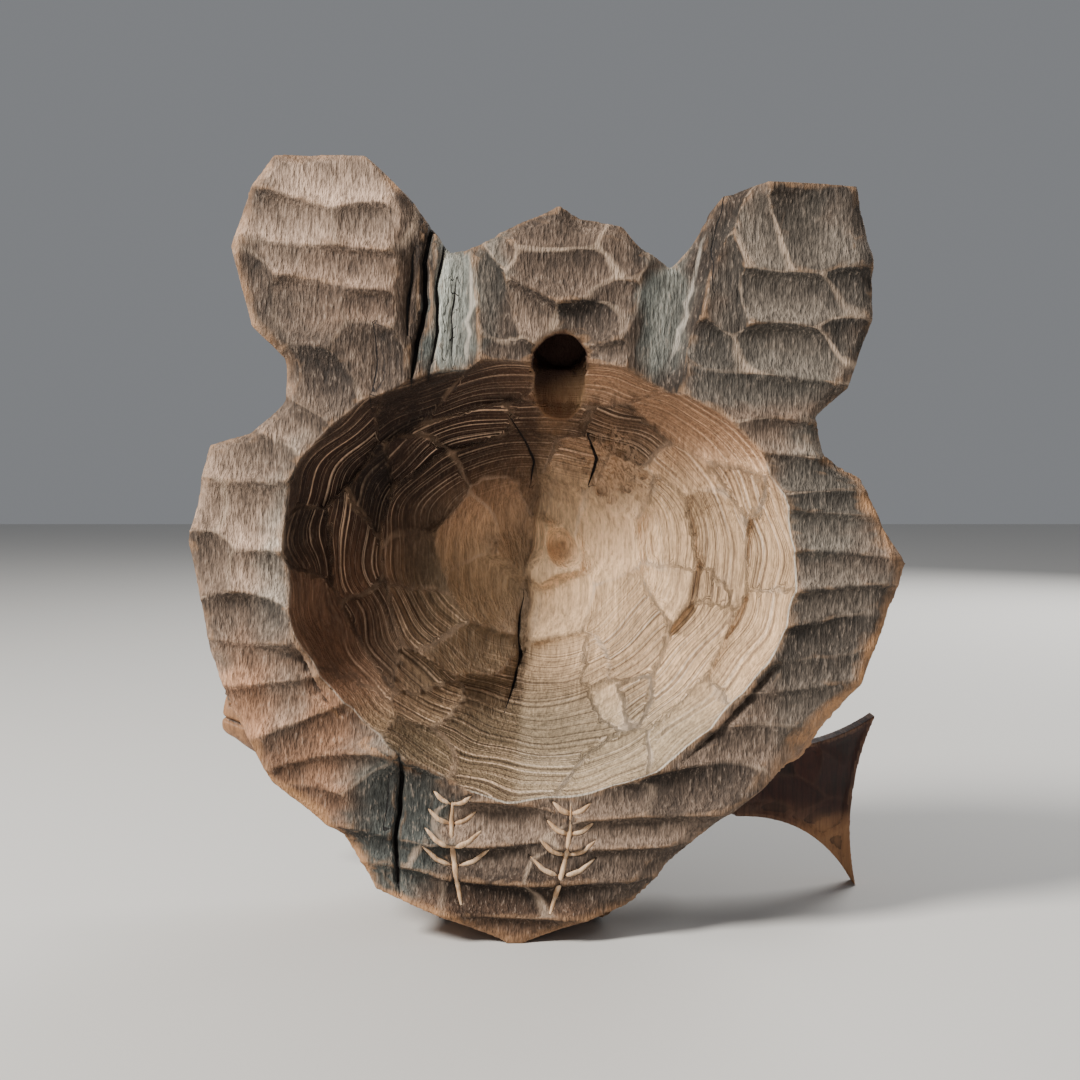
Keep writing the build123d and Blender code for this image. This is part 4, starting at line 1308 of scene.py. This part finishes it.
salmon.data.materials.append(salmon_paint())
SCALE_STAIN = (0.030, 0.014, 0.010), (0.062, 0.030, 0.019), (0.15, 0.078, 0.042)
FRESH_CUT = (0.48, 0.29, 0.155), (0.70, 0.49, 0.31), (0.80, 0.60, 0.42)
FANG_WOOD = (0.56, 0.42, 0.26), (0.76, 0.61, 0.42), (0.86, 0.74, 0.56)
scale_paint = plain_wood_paint("scale_stain", *SCALE_STAIN)
stroke_paint = plain_wood_paint("fresh_cut_wood", *FRESH_CUT)
paints = {
    "fang": plain_wood_paint("pale_fang_wood", *FANG_WOOD),
    "glass": glass_paint(),
    "pupil": enamel_paint(),
    "salmon_": brass_paint(),
}
for node_name, thing in frame["nodes"].items():
    for word, paint in paints.items():
        if word in node_name:
            thing.data.materials.clear()
            thing.data.materials.append(paint)


# ---------- scales and pale cut strokes ----------

def node_tree(name, *inputs):
    """An empty geometry node tree with its in and out sockets; inputs are name, kind and value."""
    tree = bpy.data.node_groups.new(name, "GeometryNodeTree")
    tree.interface.new_socket(name="Geometry", in_out="INPUT", socket_type="NodeSocketGeometry")
    tree.interface.new_socket(name="Geometry", in_out="OUTPUT", socket_type="NodeSocketGeometry")
    for label, kind, _ in inputs:
        tree.interface.new_socket(name=label, in_out="INPUT", socket_type=kind)
    return tree, tree.nodes.new("NodeGroupInput"), tree.nodes.new("NodeGroupOutput")


def run_tree(thing, tree, inputs):
    """Gives a thing a node tree, sets the inputs by their identifiers and keeps the plain mesh."""
    step = thing.modifiers.new("grow", "NODES")
    step.node_group = tree
    for item in tree.interface.items_tree:
        for label, _, value in inputs:
            if item.name == label and item.in_out == "INPUT":
                step[item.identifier] = value
    graph = bpy.context.evaluated_depsgraph_get()
    mesh = bpy.data.meshes.new_from_object(thing.evaluated_get(graph))
    made = bpy.data.objects.new(thing.name + "_made", mesh)
    bpy.context.scene.collection.objects.link(made)
    bpy.data.objects.remove(thing)
    mesh.shade_smooth()
    return made


def scale_shape():
    """One scale, lying along -X from its root, as a thin closed shield with a lifted tip."""
    across, along = 7, 6
    mesh = bmesh.new()
    sheets = []
    for thick in (0.0, 1.0):
        rows = []
        for j in range(along + 1):
            t = j / along
            half = 0.5 * SCALE_HEIGHT * 1.12 * math.sqrt(max(0.03, 1 - (max(0.0, t - 0.25) / 0.76) ** 2))
            row = []
            for i in range(across + 1):
                u = 2 * i / across - 1
                top = 0.12 + 0.34 * t - 0.22 * t * u * u - (0.10 if t > 0.95 else 0)
                row.append(mesh.verts.new((-t * SCALE_LENGTH * 1.3, u * half, top if thick else top - 0.5)))
            rows.append(row)
        sheets.append(rows)
    for rows, up in zip(sheets, (False, True)):
        for a, b in zip(rows, rows[1:]):
            for i in range(across):
                ring = [a[i], a[i + 1], b[i + 1], b[i]]
                mesh.faces.new(ring if not up else ring[::-1])
    low, top = sheets
    rim = [row[0] for row in low] + low[-1][1:] + [row[-1] for row in low[-2::-1]] + low[0][-2:0:-1]
    rim_top = [row[0] for row in top] + top[-1][1:] + [row[-1] for row in top[-2::-1]] + top[0][-2:0:-1]
    for k in range(len(rim)):
        n = (k + 1) % len(rim)
        mesh.faces.new([rim[k], rim[n], rim_top[n], rim_top[k]])
    bmesh.ops.recalc_face_normals(mesh, faces=mesh.faces)
    data = bpy.data.meshes.new("scale")
    mesh.to_mesh(data)
    mesh.free()
    return bpy.data.objects.new("scale", data)


def scale_rows():
    """A corner for each scale in staggered rows down both flanks, with its outward way."""
    spots = []
    for side in (1, -1):
        for i in range(-15, 12):
            for j in range(-5, 6):
                s = i * SCALE_LENGTH + 2
                h = (j + 0.5 * (i % 2)) * SCALE_HEIGHT + 0.02 * s
                if scaly(np.float64(s - 1.5), np.float64(h)) > 0.9 and abs(h) < body_half_height(s) - 2.2:
                    spots.append((s, side, h))
    return spots


def grow_scales():
    """Rows of thin scales on both flanks, each dropped onto the skin and laid along it."""
    spots = scale_rows()
    mesh = bpy.data.meshes.new("scale_spots")
    mesh.from_pydata([(s, side * 20, h) for s, side, h in spots], [], [])
    way = mesh.attributes.new("inward", "FLOAT_VECTOR", "POINT")
    way.data.foreach_set("vector", [v for _, side, _ in spots for v in (0, -side, 0)])
    rows = bpy.data.objects.new("salmon_scales", mesh)
    bpy.context.scene.collection.objects.link(rows)
    body = salmon.copy()
    body.data = salmon.data.copy()
    body.data.transform(salmon_place.inverted())
    bpy.context.scene.collection.objects.link(body)
    shape = scale_shape()
    bpy.context.scene.collection.objects.link(shape)
    inputs = (
        ("Flank", "NodeSocketObject", body),
        ("Scale", "NodeSocketObject", shape),
        ("Paint", "NodeSocketMaterial", scale_paint),
        ("Size Spread", "NodeSocketFloat", 0.07),
        ("Seed", "NodeSocketInt", 7),
    )
    tree, ins, outs = node_tree("scales", *inputs)

    def node(kind, values=(), **settings):
        return new_node(tree, kind, values, **settings)

    flank = node("GeometryNodeObjectInfo", {"Object": ins.outputs["Flank"]}).outputs["Geometry"]
    leaf = node("GeometryNodeObjectInfo", {"Object": ins.outputs["Scale"]}).outputs["Geometry"]
    inward = node("GeometryNodeInputNamedAttribute", {"Name": "inward"}, data_type="FLOAT_VECTOR")
    ray = node("GeometryNodeRaycast", {
        "Target Geometry": flank,
        "Ray Direction": inward.outputs["Attribute"],
        "Ray Length": 30.0,
    })
    landed = node("GeometryNodeSetPosition", {
        "Geometry": node("GeometryNodeMeshToPoints", {"Mesh": ins.outputs["Geometry"]}).outputs["Points"],
        "Position": ray.outputs["Hit Position"],
    }).outputs["Geometry"]
    lie = node("FunctionNodeAxesToRotation", {
        "Primary Axis": ray.outputs["Hit Normal"],
        "Secondary Axis": (1.0, 0.0, 0.0),
    }, primary_axis="Z", secondary_axis="X")
    size = node("FunctionNodeRandomValue", {"Seed": ins.outputs["Seed"]}, data_type="FLOAT")
    for limit, operation in ((2, "SUBTRACT"), (3, "ADD")):
        factor = node("ShaderNodeMath", (1.0, ins.outputs["Size Spread"]), operation=operation)
        give(tree, size.inputs[limit], factor.outputs[0])
    placed = node("GeometryNodeInstanceOnPoints", {
        "Points": landed,
        "Instance": leaf,
        "Rotation": lie.outputs["Rotation"],
        "Scale": size.outputs[1],
    }).outputs["Instances"]
    whole = node("GeometryNodeRealizeInstances", {"Geometry": placed}).outputs["Geometry"]
    done = node("GeometryNodeSetMaterial", {"Geometry": whole, "Material": ins.outputs["Paint"]})
    tree.links.new(done.outputs["Geometry"], outs.inputs["Geometry"])
    scales = run_tree(rows, tree, inputs)
    bpy.data.objects.remove(body)
    bpy.data.objects.remove(shape)
    return settled(scales, salmon_place, "scales_on_salmon")


def settled(thing, place, name):
    """A thing's mesh carried into the shared frame, with its own name."""
    thing.data.transform(place)
    thing.name = thing.data.name = name
    return thing


def cut_strokes():
    """Pale fresh wood along the bottom of each stroke of the two sprigs."""
    drawing = bpy.data.curves.new("strokes", "CURVE")
    drawing.dimensions = "3D"
    for path in sprig_strokes():
        line = drawing.splines.new("POLY")
        line.points.add(2 * len(path) - 2)
        for k, point in enumerate(line.points):
            a, b = path[k // 2], path[min((k + 1) // 2, len(path) - 1)]
            x, z = (a[0] + b[0]) / 2, (a[1] + b[1]) / 2
            depth = sheet_value(head_back.depth, head_wood, np.array([[x, 0, z]]))[0]
            point.co = (x, -depth - 0.05, z, 1)
    thing = bpy.data.objects.new("stroke_lines", drawing)
    bpy.context.scene.collection.objects.link(thing)
    inputs = (("Paint", "NodeSocketMaterial", stroke_paint), ("Half Width", "NodeSocketFloat", 0.92))
    tree, ins, outs = node_tree("strokes", *inputs)

    def node(kind, values=(), **settings):
        return new_node(tree, kind, values, **settings)

    even = node("GeometryNodeResampleCurve", {"Curve": ins.outputs["Geometry"], "Length": 0.7}, mode="LENGTH")
    factor = node("GeometryNodeSplineParameter").outputs["Factor"]
    taper = node("ShaderNodeFloatCurve", {"Value": factor})
    line = taper.mapping.curves[0]
    line.points[0].location = (0.0, 0.45)
    line.points[1].location = (1.0, 0.12)
    line.points.new(0.35, 1.0)
    taper.mapping.update()
    half = node("ShaderNodeMath", (taper.outputs[0], ins.outputs["Half Width"]), operation="MULTIPLY")
    ring = node("GeometryNodeCurvePrimitiveCircle", {"Resolution": 8, "Radius": 1.0}, mode="RADIUS")
    tube = node("GeometryNodeCurveToMesh", {
        "Curve": even.outputs["Curve"],
        "Profile Curve": ring.outputs["Curve"],
        "Scale": half.outputs[0],
        "Fill Caps": True,
    })
    whole = node("GeometryNodeRealizeInstances", {"Geometry": tube.outputs["Mesh"]}).outputs["Geometry"]
    done = node("GeometryNodeSetMaterial", {"Geometry": whole, "Material": ins.outputs["Paint"]})
    tree.links.new(done.outputs["Geometry"], outs.inputs["Geometry"])
    return settled(run_tree(thing, tree, inputs), mask_place, "sprig_cuts")


scales = grow_scales()
strokes = cut_strokes()

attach(head, "head")
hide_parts("bear_head")
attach(strokes, "head")
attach(salmon, "fish")
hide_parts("salmon")
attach(scales, "fish")


# ---------- floor, light and camera ----------

def plain_paint(name, color, rough):
    """One even colour."""
    paint = Paint(name)
    paint.shader.inputs["Base Color"].default_value = (*color, 1)
    paint.shader.inputs["Roughness"].default_value = rough
    return paint.material


bpy.ops.mesh.primitive_plane_add(size=6.0)
floor = bpy.context.object
floor.name = "floor"
floor.data.materials.append(plain_paint("pale_floor", (0.62, 0.61, 0.59), 0.8))

world = bpy.data.worlds.new("room")
bpy.context.scene.world = world
world.use_nodes = True
world.node_tree.nodes["Background"].inputs["Color"].default_value = (0.86, 0.89, 0.94, 1)
world.node_tree.nodes["Background"].inputs["Strength"].default_value = 0.25


def soft_light(name, place, aim, size, power, color):
    """A round lamp aimed at a point."""
    lamp = bpy.data.lights.new(name, "AREA")
    lamp.shape, lamp.size, lamp.energy, lamp.color = "DISK", size, power, color
    thing = bpy.data.objects.new(name, lamp)
    thing.location = place
    thing.rotation_mode = "QUATERNION"
    thing.rotation_quaternion = (Vector(aim) - Vector(place)).to_track_quat("-Z", "Y")
    bpy.context.scene.collection.objects.link(thing)


soft_light("window", (0.86, 0.66, 0.98), (0, 0, 0.12), 0.36, 38, (1.0, 0.96, 0.90))
soft_light("front_fill", (-0.7, -1.0, 0.75), (0, 0, 0.12), 0.9, 16, (1.0, 0.98, 0.95))

VIEW_ANGLE, CAMERA_TILT = 40, 87  # degrees across the picture, and up from straight down
# Metres from the chin, from the mask's back and from the floor.
CAMERA_ASIDE, CAMERA_BEHIND, CAMERA_HEIGHT = -0.0075, 0.438, 0.1456
HALF_SENSOR = 18

sight = bpy.data.cameras.new("camera")
sight.lens = HALF_SENSOR / math.tan(math.radians(VIEW_ANGLE / 2))
camera = bpy.data.objects.new("camera", sight)
camera.location = (chin.x + CAMERA_ASIDE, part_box("bear_head")[1][1] + CAMERA_BEHIND, CAMERA_HEIGHT)
camera.rotation_euler = (math.radians(CAMERA_TILT), 0, math.radians(180))
bpy.context.scene.collection.objects.link(camera)
bpy.context.scene.camera = camera
